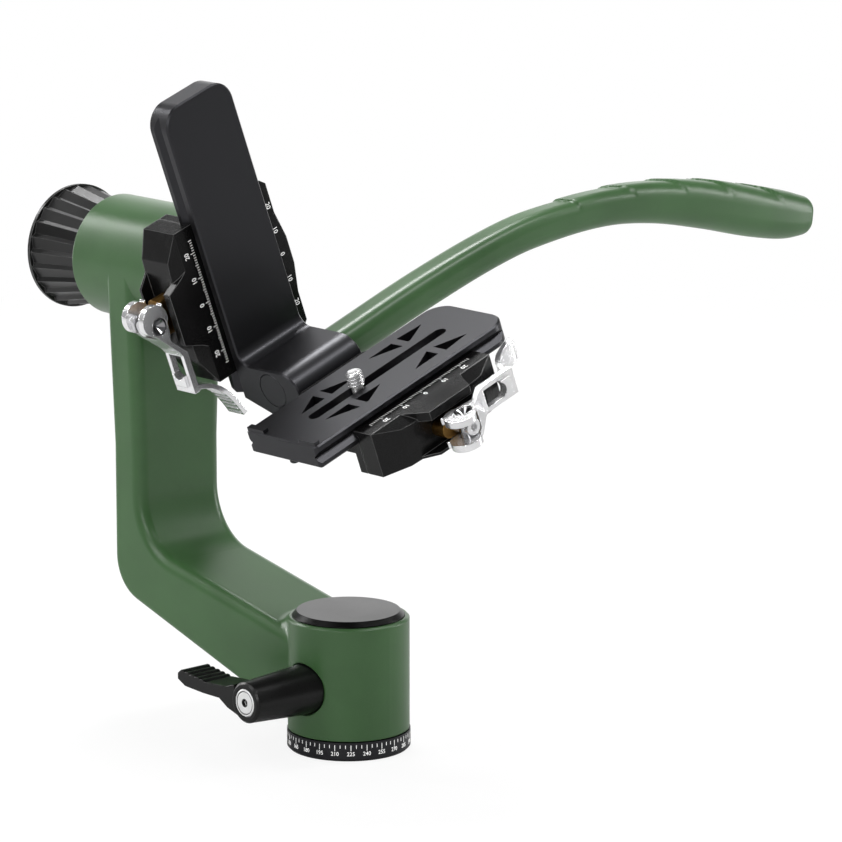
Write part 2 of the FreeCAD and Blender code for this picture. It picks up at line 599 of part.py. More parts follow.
main_arm.cut("YZ", "-hub_inner-(" + BEARING_SEAT + ")", "-hub_inner",
             ("0", "axis_height", "bearing_radius+fit_gap"))
main_arm.cut("YZ", "-hub_outer", "-hub_outer+" + BEARING_SEAT,
             ("0", "axis_height", "bearing_radius+fit_gap"))

# ---- pan lock ----
ALONG_LOCK = "placement(vector(0;0;lock_height);rotation(vector(0;0;1);0))"
lock_pad = Solid("lock_pad", ALONG_LOCK)
lock_pad.pad("XZ", "-pad_back", "-column_radius-fit_gap", ("0", "0", "pad_radius"))

stud = Solid("pan_lock_stud", ALONG_LOCK)
stud.pad("XZ", "-stud_front", "-pad_back-motion_gap", ("0", "0", "stud_radius"))
SHANK_END = "-stud_front+8"
stud.cut("XZ", "-stud_front", SHANK_END, ("0", "0", "disc_shank+fit_gap"))

lever = Solid("pan_lock_lever", ALONG_LOCK)
lever.turn("YZ", "H_Axis", [
    ("-lock_seat-motion_gap", "stud_radius+fit_gap"), ("-lock_seat-motion_gap", "lock_root_radius"),
    ("-lock_front+lock_face_round", "lock_front_radius"),
    ("-lock_front", "lock_front_radius-lock_face_round"), ("-lock_front", "disc_radius+fit_gap"),
    ("-lock_front+disc_thickness", "disc_radius+fit_gap"),
    ("-lock_front+disc_thickness", "disc_shank+fit_gap"),
    ("-stud_front-fit_gap", "disc_shank+fit_gap"), ("-stud_front-fit_gap", "stud_radius+fit_gap")])
RIDGES = 5
tab = [("-lock_front_radius*0.95", "tab_top+1.6"), ("-lock_front_radius-4", "tab_top"),
       ("-tab_reach+15.5", "tab_top-0.7")]
for ridge in range(RIDGES):
    start = f"-tab_reach+{15.0 - 2.8 * ridge:.1f}"
    rise = 0.35 * ridge
    tab += [(start, f"tab_top-0.9+{rise:.2f}"), (f"{start}-0.9", f"tab_top-0.9+tab_ridge+{rise:.2f}"),
            (f"{start}-2.0", f"tab_top-0.9+tab_ridge+{rise:.2f}")]
tab += [("-tab_reach", "tab_top-0.2"), ("-tab_reach", "-tab_under+2.6"),
        ("-tab_reach+4", "-tab_under+0.6"), ("-tab_reach+14", "-tab_under"),
        ("-lock_front_radius-8", "-tab_under"), ("-lock_front_radius-3.5", "-tab_under-2.6"),
        ("-lock_front_radius*0.75", "-lock_front_radius*0.75")]
lever.pad("XZ", "-tab_front", "-tab_back", tab)

lock_screw = Solid("pan_lock_screw", ALONG_LOCK)
lock_screw.turn("YZ", "H_Axis", [
    ("-lock_front+disc_thickness", "0"), ("-lock_front+disc_thickness", "disc_radius"),
    ("-lock_front+0.3", "disc_radius"), ("-lock_front", "disc_radius-0.3"),
    ("-lock_front", "disc_radius*0.8"), ("-lock_front+0.25", "disc_radius*0.78"),
    ("-lock_front", "disc_radius*0.76"), ("-lock_front", "0")])
lock_screw.pad("XZ", "-lock_front+disc_thickness", SHANK_END + "-fit_gap", ("0", "0", "disc_shank"))
lock_screw.cut("XZ", "-lock_front", "-lock_front+1.2",
               [(f"disc_socket*cos({60 * step})", f"disc_socket*sin({60 * step})")
                for step in range(6)])

# ---- tilt spindle, bearings and knob ----
CLAMP_BACK = "-upper_floor-clamp_depth"
HUB_FACE = "-hub_inner+motion_gap"
KNOB_FACE = "-hub_outer-disc_gap"
SPINDLE_END = "-knob_end+knob_dish_depth+spindle_short"
tilt_spindle = Solid("tilt_spindle", TILT)
tilt_spindle.turn("XZ", "H_Axis", [
    (CLAMP_BACK, "0"), (CLAMP_BACK, "spindle_flange"), (HUB_FACE, "spindle_flange"),
    (HUB_FACE, "spindle_radius"), (KNOB_FACE, "spindle_radius"),
    (KNOB_FACE, "spindle_thread"), (SPINDLE_END, "spindle_thread"), (SPINDLE_END, "0")])

AT_AXIS = "placement(vector(0;0;axis_height);rotation(vector(0;0;1);0))"
bearings = []
for end in ("-hub_inner-motion_gap", "-hub_outer+motion_gap+bearing_width"):
    ring = Solid("TiltBearing", node=False)
    ring.turn("XZ", "H_Axis", rectangle(
        end, "spindle_radius+running_gap", f"{end}-bearing_width", "bearing_radius"))
    bearings.append(ring.body)
group("tilt_bearings", bearings, AT_AXIS)

spacer = Solid("bearing_spacer", TILT)
spacer.turn("XZ", "H_Axis", rectangle(
    "-hub_inner-2*motion_gap-bearing_width", "spindle_radius+fit_gap",
    "-hub_outer+2*motion_gap+bearing_width", "hub_bore-2*motion_gap"))

friction_disc = Solid("tilt_friction_disc", AT_AXIS)
friction_disc.turn("XZ", "H_Axis", rectangle(
    "-hub_outer", "spindle_radius+motion_gap", KNOB_FACE, "friction_radius"))

FLUTES = 24
tilt_knob = Solid("tilt_knob", AT_AXIS)


def fluted(radius):
    """Return the saw-toothed outline of the knob at a radius."""
    outline = []
    step = 360 / FLUTES
    for flute in range(FLUTES):
        crest = round(flute * step, 3)
        root = round((flute + 0.72) * step, 3)
        outline.append((f"{radius}*cos({crest})", f"{radius}*sin({crest})"))
        outline.append((f"({radius}-knob_flute)*cos({root})", f"({radius}-knob_flute)*sin({root})"))
    return outline


loft = tilt_knob.body.newObject("PartDesign::AdditiveLoft", "Loft")
loft.Profile = tilt_knob.sketch("YZ", KNOB_FACE, [fluted("knob_inner_radius")])
loft.Sections = [tilt_knob.sketch("YZ", "-knob_end+knob_rim*0.5",
                                  [fluted("(knob_outer_radius-knob_step)")])]
loft.Ruled = True
tilt_knob.settle(loft)
tilt_knob.pad("YZ", "-knob_end", "-knob_end+knob_rim", ("0", "0", "knob_outer_radius"))
tilt_knob.cut("YZ", KNOB_FACE + "-insert_length", KNOB_FACE, ("0", "0", "insert_radius+fit_gap"))
tilt_knob.cut("YZ", "-knob_end", KNOB_FACE, ("0", "0", "spindle_thread+motion_gap"))
tilt_knob.cut("YZ", "-knob_end", "-knob_end+knob_dish_depth", ("0", "0", "knob_dish"))

insert = Solid("knob_insert", AT_AXIS)
insert.turn("XZ", "H_Axis", rectangle(
    KNOB_FACE + "-fit_gap", "spindle_thread+fit_gap", KNOB_FACE + "-insert_length",
    "insert_radius"))

CAP_INSIDE = "-knob_end+knob_dish_depth"
knob_cap = Solid("knob_cap", AT_AXIS)
knob_cap.turn("XZ", "H_Axis", [
    (CAP_INSIDE, "0"), (CAP_INSIDE, "knob_dish-fit_gap"),
    (CAP_INSIDE + "-knob_cap_height+0.8", "knob_dish-fit_gap"),
    (CAP_INSIDE + "-knob_cap_height", "knob_dish-1"), (CAP_INSIDE + "-knob_cap_height", "0")])


# Back of the clamp lever's curved tail, from the back corner of the grip: steps across
# and along the clamp, with the direction of its thickness at each.
TAIL = [("+0.6", "-2.4"), ("-1.9", "-1.6"), ("-4.6", "-0.4"), ("-7.4", "+1.2"), ("-10.2", "+3.7"),
        ("-12.8", "+6.9"), ("-14.9", "+10.7"), ("-16.6", "+14.6"), ("-18.0", "+18.6")]
TAIL_LEAN = [(0.2, 1.2), (0.3, 0.95), (0.42, 0.91), (0.56, 0.83), (0.7, 0.71),
             (0.83, 0.56), (0.9, 0.43), (0.94, 0.35), (0.95, 0.3)]


def clamp(name, placement, half, mounting):
    """Build a lever clamp on a frame for a plate of a given half width."""
    flat = f"{name}_wall_half"
    shoulder = f"{name}_wall_half+{name}_wall_slope"
    side = f"{half}-parting"
    wall_end = f"{half}+jaw_wall_end"
    wall_mid = f"{half}+jaw_wall_mid"
    pivot = f"{half}+pin_reach"
    draw_end = f"{pivot}+screw_proud"
    bore = ("0", "-screw_level")

    body = Solid(f"{name}_clamp_body", placement)
    end_wall = [(side, "-clamp_half"), (f"{side}-notch_wall", "-clamp_half"),
                ("notch_floor", "-clamp_half+notch_depth"),
                ("-notch_floor", "-clamp_half+notch_depth"),
                (f"-({side}-notch_wall)", "-clamp_half"), (f"-({wall_end})", "-clamp_half"),
                (f"-({wall_end})", f"-({shoulder})"), (f"-({wall_mid})", f"-{flat}")]
    outline = end_wall + [(a, f"-({b})") for a, b in reversed(end_wall)]
    body.pad("XY", "-clamp_depth", "0", outline)
    body.pad("XZ", "-clamp_half", "clamp_half", mirrored([
        (f"{half}+lip_gap", "-1"), (f"{half}+lip_gap", "rim_height"),
        (f"{half}+lip_gap-groove_depth", "rim_height+groove_depth"),
        (f"{half}+lip_gap-groove_depth+jaw_top-rim_height-groove_depth", "jaw_top"),
        (wall_end, "jaw_top"), (wall_end, "-1")]))
    body.pad("XY", "-1", "jaw_top", [
        (f"-({half}+pad_overlap)", f"-({shoulder})"), (f"-({half}+pad_overlap)", shoulder),
        (f"-({wall_end})", shoulder), (f"-({wall_mid})", flat),
        (f"-({wall_mid})", f"-{flat}"), (f"-({wall_end})", f"-({shoulder})")])
    corner = [(f"-({wall_end})-0.1", "clamp_half-wall_corner"),
              (f"-({wall_end})+wall_corner+0.1", "clamp_half+0.1"),
              (f"-({wall_end})-0.1", "clamp_half+0.1")]
    body.cut("XY", "-clamp_depth", "jaw_top", corner, [(a, f"-({b})") for a, b in corner])
    body.cut("YZ", f"-({wall_mid})", side, bore + ("screw_radius+running_gap",))
    body.cut("YZ", f"-({wall_mid})", f"-({wall_mid})+screw_head_length+fit_gap",
             bore + ("screw_head+fit_gap",))
    guides = [(sign + "guide_place", "-screw_level", "guide_radius+fit_gap") for sign in ("", "-")]
    body.cut("YZ", f"{side}-guide_length*0.5", side, *guides)
    springs = [(sign + "spring_place", "-screw_level", "spring_bore") for sign in ("", "-")]
    body.cut("YZ", f"{side}-spring_depth", side, *springs)
    mounting(body, side)

    jaw_side = f"{side}+motion_gap"
    jaw = Solid(f"{name}_clamp_jaw", placement)
    bar = f"{half}+bar_end"
    pocket = f"{half}+bar_mid"
    jaw.pad("XZ", "-clamp_half", "clamp_half", [
        (jaw_side, "-clamp_depth"), (bar, "-clamp_depth"), (bar, "jaw_top"),
        (f"{half}+lip_gap-groove_depth+jaw_top-rim_height-groove_depth", "jaw_top"),
        (f"{half}+lip_gap-groove_depth", "rim_height+groove_depth"),
        (f"{half}+lip_gap", "rim_height"), (f"{half}+lip_gap", "-lip_gap"),
        (jaw_side, "-lip_gap")])
    jaw.pad("XY", "-clamp_depth", "jaw_top", [
        (f"{half}+pad_overlap", "-clamp_half"), (bar, "-clamp_half"), (f"{pocket}-bar_bow", "-bar_fold"),
        (pocket, "-rim_foot"), (pocket, "rim_foot"), (f"{pocket}-bar_bow", "bar_fold"),
        (bar, "clamp_half"), (f"{half}+pad_overlap", "clamp_half")])
    jaw.cut("XZ", "-clamp_half-1", "clamp_half+1", [
        (bar, "jaw_top"), (pocket, "jaw_top-facet_drop"),
        (f"{pocket}+1", "jaw_top-facet_drop"), (f"{pocket}+1", "jaw_top+1"), (bar, "jaw_top+1")])
    jaw.pad("XY", "rim_under", "jaw_top", [
        (f"{half}+pad_overlap", "-rim_foot"), (bar, "-rim_foot"), (f"{half}+rim_knee", "-rim_foot+rim_knee_in"),
        (f"{half}+rim_reach", "-rim_half"), (f"{half}+rim_reach", "rim_half"),
        (f"{half}+rim_knee", "rim_foot-rim_knee_in"), (bar, "rim_foot"), (f"{half}+pad_overlap", "rim_foot")])
    jaw.pad("XY", "-clamp_depth", "-clamp_depth+flange_under", [
        (f"{half}+pad_overlap", "-rim_foot"), (f"{pocket}-bar_bow*0.5", "-rim_foot"),
        (f"{half}+rim_reach", "-rim_half"), (f"{half}+rim_reach", "rim_half"),
        (f"{pocket}-bar_bow*0.5", "rim_foot"), (f"{half}+pad_overlap", "rim_foot")])
    jaw.cut("YZ", side, pocket, bore + ("screw_radius+running_gap",))
    jaw.cut("YZ", side, f"{side}+guide_length*0.5-parting",
            *[(a, b, "guide_radius+running_gap") for a, b, c in guides])
    jaw.cut("YZ", side, f"{side}+spring_depth", *springs)

    AT_SCREW = placement + shift(z="-screw_level")
    shoe_front = f"{pivot}-barrel_radius-jaw_travel-running_gap"
    shoe = Solid(f"{name}_brass_shoe", AT_SCREW)
    ends = [(0, 1), (0.38, 0.92), (0.71, 0.71), (0.92, 0.38), (1, 0),
            (0.92, -0.38), (0.71, -0.71), (0.38, -0.92), (0, -1)]
    near_end = [(f"brass_half-brass_radius+brass_radius*{a}", f"brass_radius*{b}") for a, b in ends]
    far_end = [(f"-({a})", f"-({b})") for a, b in near_end]
    shoe.pad("YZ", pocket, shoe_front, near_end + far_end)
    shoe.cut("YZ", pocket, shoe_front, ("0", "0", "screw_radius+running_gap"))

    screw = Solid(f"{name}_draw_screw", AT_SCREW)
    screw.turn("XZ", "H_Axis", [
        (f"-({wall_mid})", "0"), (f"-({wall_mid})", "screw_head"),
        (f"-({wall_mid})+screw_head_length", "screw_head"),
        (f"-({wall_mid})+screw_head_length", "screw_radius"), (draw_end, "screw_radius"),
        (draw_end, "0")])
    screw.cut("YZ", f"{draw_end}-screw_hex_depth", draw_end,
              [(f"screw_hex*cos({60 * step})", f"screw_hex*sin({60 * step})")
               for step in range(6)])

    barrel = Solid(f"{name}_lever_barrel", placement + shift(x=pivot))
    barrel.turn("XZ", "V_Axis", [
        ("0", "-ear_bottom"), ("barrel_radius", "-ear_bottom"), ("barrel_radius", "ear_top"),
        ("barrel_radius-barrel_rim", "ear_top"), ("0", "ear_top-barrel_dimple")])
    barrel.cut("YZ", "-barrel_radius", "barrel_radius", bore + ("screw_radius+fit_gap",))

    lever = Solid(f"{name}_clamp_lever", placement)
    cam = (f"{pivot}+cam_out", "-cam_near", "cam_radius")
    grip_front = f"{pivot}-grip_inset"
    grip_back = f"{grip_front}-grip_thickness"
    strap = [(f"{pivot}-strap_back-1", "-cam_near-strap_heel"), (f"{pivot}+cam_out", "-cam_near"),
             (f"{pivot}+cam_out+cam_radius-0.1", "-cam_near+0.6"),
             (f"{grip_front}+1.2", "grip_start-0.5"), (grip_front, "grip_start+2"),
             (grip_front, "grip_end"), (grip_back, "grip_end"), (grip_back, "grip_start+1.2"),
             (f"{pivot}-strap_back", "ear_reach+2"), (f"{pivot}-strap_back-0.8", "ear_reach-2")]
    lever.pad("XY", "-ear_bottom", "ear_top", cam)
    lever.pad("XY", "-ear_bottom", "ear_top", strap)
    lever.cut("XY", "-ear_bottom+ear_thickness", "ear_top-ear_thickness", rectangle(
        f"{pivot}-cam_radius", "-cam_near-cam_radius-1", f"{pivot}+cam_out+cam_radius+1",
        "ear_reach"))
    lever.cut("YZ", grip_back, f"{pivot}+cam_radius", [
        ("ear_reach+1", "-ear_bottom"), ("grip_start+1", "-grip_bottom"),
        ("grip_end+1", "-grip_bottom"), ("grip_end+1", "-ear_bottom-1"),
        ("ear_reach+1", "-ear_bottom-1")])
    outer = [(grip_back + a, "grip_end" + b) for a, b in TAIL]
    inner_side = [(f"{a}+tail_thickness*{lean[0]}", f"{b}+tail_thickness*{lean[1]}")
                  for (a, b), lean in zip(outer, TAIL_LEAN)]
    lever.pad("XY", "-tail_bottom", "-tail_top", outer + inner_side[::-1])
    window = ("grip_start+window_frame+0.6", "-grip_bottom+window_frame",
              "grip_end-window_frame-1.2", "grip_top-window_frame")
    lever.cut("YZ", grip_back, grip_front, rectangle(*window))
    for low, high in (("-ear_bottom", "-ear_bottom+ear_thickness"),
                      ("ear_top-ear_thickness", "ear_top")):
        lever.cut("XY", low, high, (pivot, "0", "barrel_radius+running_gap"))

    catch = Solid(f"{name}_lever_catch", placement)
    scoop = f"{window[2]}-catch_length"
    catch.pad("YZ", f"{grip_back}+catch_gap", f"{grip_front}+catch_proud", rectangle(
        scoop, f"{window[1]}+running_gap", f"{window[2]}-running_gap",
        f"{window[3]}-running_gap"))
    catch.cut("YZ", f"{grip_back}+catch_gap", f"{grip_front}+catch_proud", (
        f"{scoop}-catch_scoop*0.4", "(grip_top-grip_bottom)/2", "catch_scoop"))

    pins = []
    coils = []
    for sign in ("", "-"):
        pin = Solid("GuidePin", node=False)
        pin.pad("YZ", f"{side}-guide_length*0.5+fit_gap", f"{side}+guide_length*0.5-2*parting",
                (f"{sign}guide_place", "-screw_level", "guide_radius"))
        pins.append(pin.body)
        coil = Solid("JawSpring", shift(f"{side}-spring_depth+2*spring_wire",
                                        f"{sign}spring_place", "-screw_level")[1:]
                     + "*placement(vector(0;0;0);rotation(vector(0;1;0);90))", node=False)
        helix = coil.body.newObject("PartDesign::AdditiveHelix", "Helix")
        helix.Profile = coil.sketch("XZ", "0", [("spring_coil", "0", "spring_wire")])
        helix.ReferenceAxis = (helix.Profile[0], ["V_Axis"])
        helix.Mode = 0
        helix.setExpression("Pitch", bound("spring_pitch"))
        helix.setExpression("Height", bound("2*spring_depth-4*spring_wire-3*motion_gap"))
        coil.settle(helix)
        coils.append(coil.body)
    group(f"{name}_guide_pins", pins, placement)
    group(f"{name}_jaw_springs", coils, placement)


UPPER_SCREWS = [(across + "mount_across", along + "mount_along")
                for across in ("", "-") for along in ("", "-")]
LOWER_SCREWS = ["mount_along", "-mount_along"]
HEAD_SEAT = "mount_head_length+mount_sink"


def upper_mounting(body, side):
    """Bore the upper clamp for the screws into the tilt spindle."""
    body.cut("XY", "-clamp_depth", "0",
             *[(s, u, "mount_radius+fit_gap") for s, u in UPPER_SCREWS])
    body.cut("XY", f"-({HEAD_SEAT})", "0",
             *[(s, u, "mount_head+fit_gap") for s, u in UPPER_SCREWS])


def lower_mounting(body, side):
    """Bore the lens clamp for the screws into the bracket's foot."""
    body.cut("YZ", "-lens_head_seat", side,
             *[(u, "-lens_screw_level", "mount_head+fit_gap") for u in LOWER_SCREWS])
    body.cut("YZ", "-lens_half-jaw_wall_mid", "-lens_head_seat",
             *[(u, "-lens_screw_level", "mount_radius+fit_gap") for u in LOWER_SCREWS])


clamp("upper", UPPER, "bracket_half", upper_mounting)
clamp("lower", LOWER, "lens_half", lower_mounting)

# ---- screws that hold the clamps ----
tilt_spindle.cut("YZ", HUB_FACE, CLAMP_BACK, *[
    (f"-({s})", f"-({u})", "mount_radius+fit_gap") for s, u in UPPER_SCREWS])
group("upper_clamp_screws", [
    socket_screw(shift(s, u, "-mount_sink")[1:], "mount_radius", "mount_upper_length",
                 "mount_head", "mount_head_length") for s, u in UPPER_SCREWS], UPPER)
SIDEWAYS = "*placement(vector(0;0;0);rotation(vector(0;1;0);90))"
group("lower_clamp_screws", [
    socket_screw(shift("-lens_head_seat+mount_head_length", u, "-lens_screw_level")[1:] + SIDEWAYS,
                 "mount_radius", "mount_lower_length", "mount_head", "mount_head_length")
    for u in LOWER_SCREWS], LOWER)

# ---- bracket and handle ----
bracket = Solid("l_bracket", TILT)
bracket.pad("XZ", "-bracket_half", "bracket_half", [
    ("-upper_floor", "bracket_top"), ("-upper_floor", "-foot_heel+1.8"),
    ("-upper_floor+2.2", "-foot_heel"), ("-foot_nose", "-foot_nose_low"),
    ("-foot_nose", "-foot_top"), ("-bracket_front", "-foot_top"),
    ("-bracket_front", "bracket_top")])
bracket.soften("Fillet", "foot_nose_round", straight("y"),
               near("-foot_nose", "-foot_top"))
bracket.soften("Fillet", "foot_inner_round", straight("y"),
               near("-bracket_front", "-foot_top"))
bracket.soften("Fillet", "bracket_corner", straight("x"),
               lambda edge: edge.CenterOfMass.z > SIZE["bracket_top"] - 0.1)
bracket.soften("Chamfer", "0.6", lambda edge: abs(edge.CenterOfMass.x + SIZE["bracket_front"]) < 0.1,
               lambda edge: edge.BoundBox.YLength < 2 * SIZE["bracket_half"] - 0.1
               or edge.CenterOfMass.z > 0)
for sign in ("", "-"):
    bracket.cut("XY", "-foot_nose_low", "bracket_top", [
        ("-upper_floor+rim_height", f"{sign}bracket_half"),
        ("-upper_floor+rim_height+groove_depth", f"{sign}(bracket_half-groove_depth)"),
        ("-upper_floor+rim_height+2*groove_depth", f"{sign}bracket_half"),
        ("-upper_floor+rim_height+2*groove_depth", f"{sign}(bracket_half+1)"),
        ("-upper_floor+rim_height", f"{sign}(bracket_half+1)")])
bolt_axis = ("-handle_x", "-handle_drop")
BOLT_SEAT = "-bracket_half+plug_thickness+bolt_head_length+fit_gap"
bracket.cut("XZ", "-bracket_half", BOLT_SEAT, bolt_axis + ("plug_radius+fit_gap",))
bracket.cut("XZ", BOLT_SEAT, "bracket_half", bolt_axis + ("bolt_radius+running_gap",))
bracket.cut("YZ", "lens_x-lens_head_seat-mount_lower_length-motion_gap", "-foot_nose",
            *[(u, "-lens_floor-lens_screw_level", "mount_radius+fit_gap") for u in LOWER_SCREWS])

plug = Solid("bracket_plug", TILT)
plug.pad("XZ", "-bracket_half", "-bracket_half+plug_thickness", bolt_axis + ("plug_radius",))
plug.soften("Chamfer", "0.3", lambda edge: edge.CenterOfMass.y < -SIZE["bracket_half"] + 0.1)

bolt = Solid("handle_bolt", TILT)
bolt.pad("XZ", "-bracket_half+plug_thickness+fit_gap", BOLT_SEAT, bolt_axis + ("bolt_head",))
bolt.pad("XZ", BOLT_SEAT, BOLT_SEAT + "+bolt_length", bolt_axis + ("bolt_radius",))
bolt.cut("XZ", "-bracket_half+plug_thickness+fit_gap", "-bracket_half+plug_thickness+3",
         [(f"-handle_x+2.5*cos({60 * step})", f"-handle_drop+2.5*sin({60 * step})")
          for step in range(6)])

# Stations along the handle: distance along the lens, height from the tilt axis,
# width across, thickness; all in the tilted frame.
HANDLE = [
    (16.36, -34.0, 15.0, 13.5), (63.0, -33.7, 15.0, 13.3), (100.0, -35.3, 15.0, 13.0),
    (118.0, -37.6, 15.0, 13.1), (158.0, -47.5, 15.4, 14.4), (183.0, -57.8, 16.4, 17.0),
    (207.0, -71.0, 18.2, 19.5), (232.0, -87.0, 18.6, 20.5), (247.0, -96.2, 17.4, 19.0),
    (257.0, -101.4, 15.5, 15.0)]


def rounded_section(place, lean, wide, tall):
    """Draw a rounded rectangle square to the handle at a station."""
    drawing = document.addObject("Sketcher::SketchObject", "Section")
    drawing.setExpression("Placement", bound(
        f"placement(vector(-handle_x;{place[0]};{place[1]});rotation(vector(1;0;0);{90 + lean}))"))
    radius = 0.38 * tall
    half = (wide / 2, tall / 2)
    corners = [(1, -1, -90), (1, 1, 0), (-1, 1, 90), (-1, -1, 180)]
    axis = FreeCAD.Vector(0, 0, 1)
    ends = []
    for side, top, start in corners:
        middle = FreeCAD.Vector(side * (half[0] - radius), top * (half[1] - radius), 0)
        sweep = (math.radians(start), math.radians(start + 90))
        arc = Part.ArcOfCircle(Part.Circle(middle, axis, radius), *sweep)
        ends.append((arc.StartPoint, arc.EndPoint))
        drawing.addGeometry(arc, False)
    for index in range(4):
        line = Part.LineSegment(ends[index][1], ends[(index + 1) % 4][0])
        drawing.addGeometry(line, False)
    return drawing


sections = []
for index, (along, up, wide, tall) in enumerate(HANDLE):
    before = HANDLE[max(index - 1, 0)]
    after = HANDLE[min(index + 1, len(HANDLE) - 1)]
    lean = math.degrees(math.atan2(after[1] - before[1], after[0] - before[0]))
    sections.append(rounded_section((along, up), 0.0 if index == 0 else lean, wide, tall))
document.recompute()
grip = document.addObject("Part::Loft", "HandleGrip")
grip.Sections = sections
grip.Solid = True
grip.Ruled = False
bolt_hole = document.addObject("Part::Cylinder", "HandleBore")
bolt_hole.setExpression("Radius", bound("bolt_radius+fit_gap"))
bolt_hole.setExpression("Height", bound("bolt_length"))
bolt_hole.setExpression("Placement", bound(
    f"placement(vector(-handle_x;{BOLT_SEAT}+fit_gap;-handle_drop);rotation(vector(1;0;0);-90))"))
handle = document.addObject("Part::Cut", "handle")
handle.Base = grip
handle.Tool = bolt_hole
handle.setExpression("Placement", bound(TILT))
document.recompute()
nodes.append(handle)

# ---- lens plate ----
plate = Solid("lens_plate", LOWER)
plate.pad("XY", "0", "lens_thickness", rectangle(
    "-lens_half", "-lens_length", "lens_half", "lens_length"))
plate.soften("Fillet", "lens_corner", straight("z"), lambda edge: edge.CenterOfMass.y > 0)
plate.soften("Fillet", "1.5", straight("z"), lambda edge: edge.CenterOfMass.y < 0)
plate.soften("Chamfer", "0.6", lambda edge: edge.BoundBox.ZLength < 0.01)
for sign in ("", "-"):
    plate.cut("XZ", "-lens_length-1", "lens_length+1", [
        (f"{sign}lens_half", "rim_height"),
        (f"{sign}(lens_half-groove_depth)", "rim_height+groove_depth"),
        (f"{sign}lens_half", "rim_height+2*groove_depth"),
        (f"{sign}(lens_half+1)", "rim_height+2*groove_depth"),
        (f"{sign}(lens_half+1)", "rim_height")])
    plate.pad("XY", "lens_thickness-1", "lens_thickness+lens_tab_height", rectangle(
        f"{sign}(lens_half-0.8)", "-lens_length+0.6", f"{sign}lens_tab_inner",
        "-lens_length+lens_tab_depth"))
plate.cut("XY", "0", "lens_thickness", rectangle("-slot_half", "-slot_end", "slot_half", "slot_end"))
for end in ("-slot_end", "slot_end"):
    plate.cut("XY", "0", "lens_thickness", ("0", end, "slot_half"))
plate.cut("XY", "0", "slot_under", rectangle(
    "-slot_under_half", "-slot_end-slot_half", "slot_under_half", "slot_end+slot_half"))
WINDOWS = [[(6.3, -33.2), (6.3, -21.3), (12.8, -21.3)], [(6.3, -17.7), (13.0, -17.7), (7.2, -5.8)],
           [(12.6, 7.1), (12.6, 19.0), (6.4, 19.0)], [(6.4, 22.4), (13.4, 22.4), (12.2, 34.4)]]
windows = []
for corners in WINDOWS:
    outline = [(str(s), str(u)) for s, u in corners]
    windows += [outline, mirrored(outline)]
plate.cut("XY", "slot_under+0.6", "lens_thickness", *windows)
stops = [("0", "-stop_place", "stop_radius+fit_gap"), ("0", "stop_place", "stop_radius+fit_gap")]
plate.cut("XY", "0", "slot_under", *stops)

stop_pins = []
for place in ("-stop_place", "stop_place"):
    pin = Solid("StopPin", node=False)
    pin.pad("XY", "-stop_drop", "slot_under-fit_gap", ("0", place, "stop_radius"))
    pin.soften("Chamfer", "0.4", lambda edge: edge.CenterOfMass.z < 0,
               lambda edge: edge.Curve.TypeId == "Part::GeomCircle")
    stop_pins.append(pin.body)
group("plate_stop_pins", stop_pins, LOWER)

AT_CAMERA = LOWER + shift(y="-camera_place")
COLLAR_SEAT = "slot_under-camera_collar-running_gap"
collar = Solid("screw_slide_washer", AT_CAMERA)
collar.turn("XZ", "V_Axis", rectangle(
    "camera_neck+running_gap", COLLAR_SEAT, "camera_head", "slot_under-running_gap"))
camera_screw = Solid("camera_screw", AT_CAMERA)
HEAD_LOW = COLLAR_SEAT + "-camera_head_height"
thread = [("0", HEAD_LOW), ("camera_head", HEAD_LOW), ("camera_head", COLLAR_SEAT),
          ("camera_neck", COLLAR_SEAT), ("camera_neck", "lens_thickness+camera_start")]
RINGS = 2
for turn in range(RINGS):
    low = f"lens_thickness+camera_start+{turn}*camera_pitch"
    thread += [("camera_thread", low), ("camera_thread", f"{low}+camera_pitch*0.35"),
               ("camera_thread-camera_groove", f"{low}+camera_pitch*0.6"),
               ("camera_thread-camera_groove", f"{low}+camera_pitch*0.75")]
thread += [("camera_thread", f"lens_thickness+camera_start+{RINGS}*camera_pitch"),
           ("camera_thread", "lens_thickness+camera_top-camera_groove"),
           ("camera_thread-camera_groove", "lens_thickness+camera_top"),
           ("0", "lens_thickness+camera_top")]
camera_screw.turn("XZ", "V_Axis", thread)
camera_screw.cut("XY", HEAD_LOW, HEAD_LOW + "+camera_driver_depth", rectangle(
    "-camera_head-1", "-camera_driver", "camera_head+1", "camera_driver"))

document.recompute()
os.makedirs("parts", exist_ok=True)
for item in document.Objects:
    if "Invalid" in item.State or "Error" in item.State:
        raise ValueError(f"{item.Label} did not compute")
for node in nodes:
    if node.Shape.isNull() or not node.Shape.isValid():
        raise ValueError(f"{node.Label} has no valid shape")
    node.Shape.exportStep(f"parts/{node.Label}.step")
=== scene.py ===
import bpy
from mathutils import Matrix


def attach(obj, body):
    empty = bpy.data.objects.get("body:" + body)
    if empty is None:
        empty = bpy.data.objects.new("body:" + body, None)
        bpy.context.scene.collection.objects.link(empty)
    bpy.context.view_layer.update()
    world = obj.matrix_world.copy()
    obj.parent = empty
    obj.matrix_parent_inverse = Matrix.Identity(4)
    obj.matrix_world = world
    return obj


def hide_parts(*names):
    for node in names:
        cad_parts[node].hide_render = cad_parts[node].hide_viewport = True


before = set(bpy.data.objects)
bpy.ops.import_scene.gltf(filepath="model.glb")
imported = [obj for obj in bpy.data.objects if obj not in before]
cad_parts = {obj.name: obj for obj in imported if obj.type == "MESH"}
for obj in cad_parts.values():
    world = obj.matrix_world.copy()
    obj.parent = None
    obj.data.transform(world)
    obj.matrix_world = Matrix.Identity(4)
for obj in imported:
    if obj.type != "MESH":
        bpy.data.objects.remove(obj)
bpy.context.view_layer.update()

import logging
import math
from dataclasses import dataclass, field
from enum import Enum
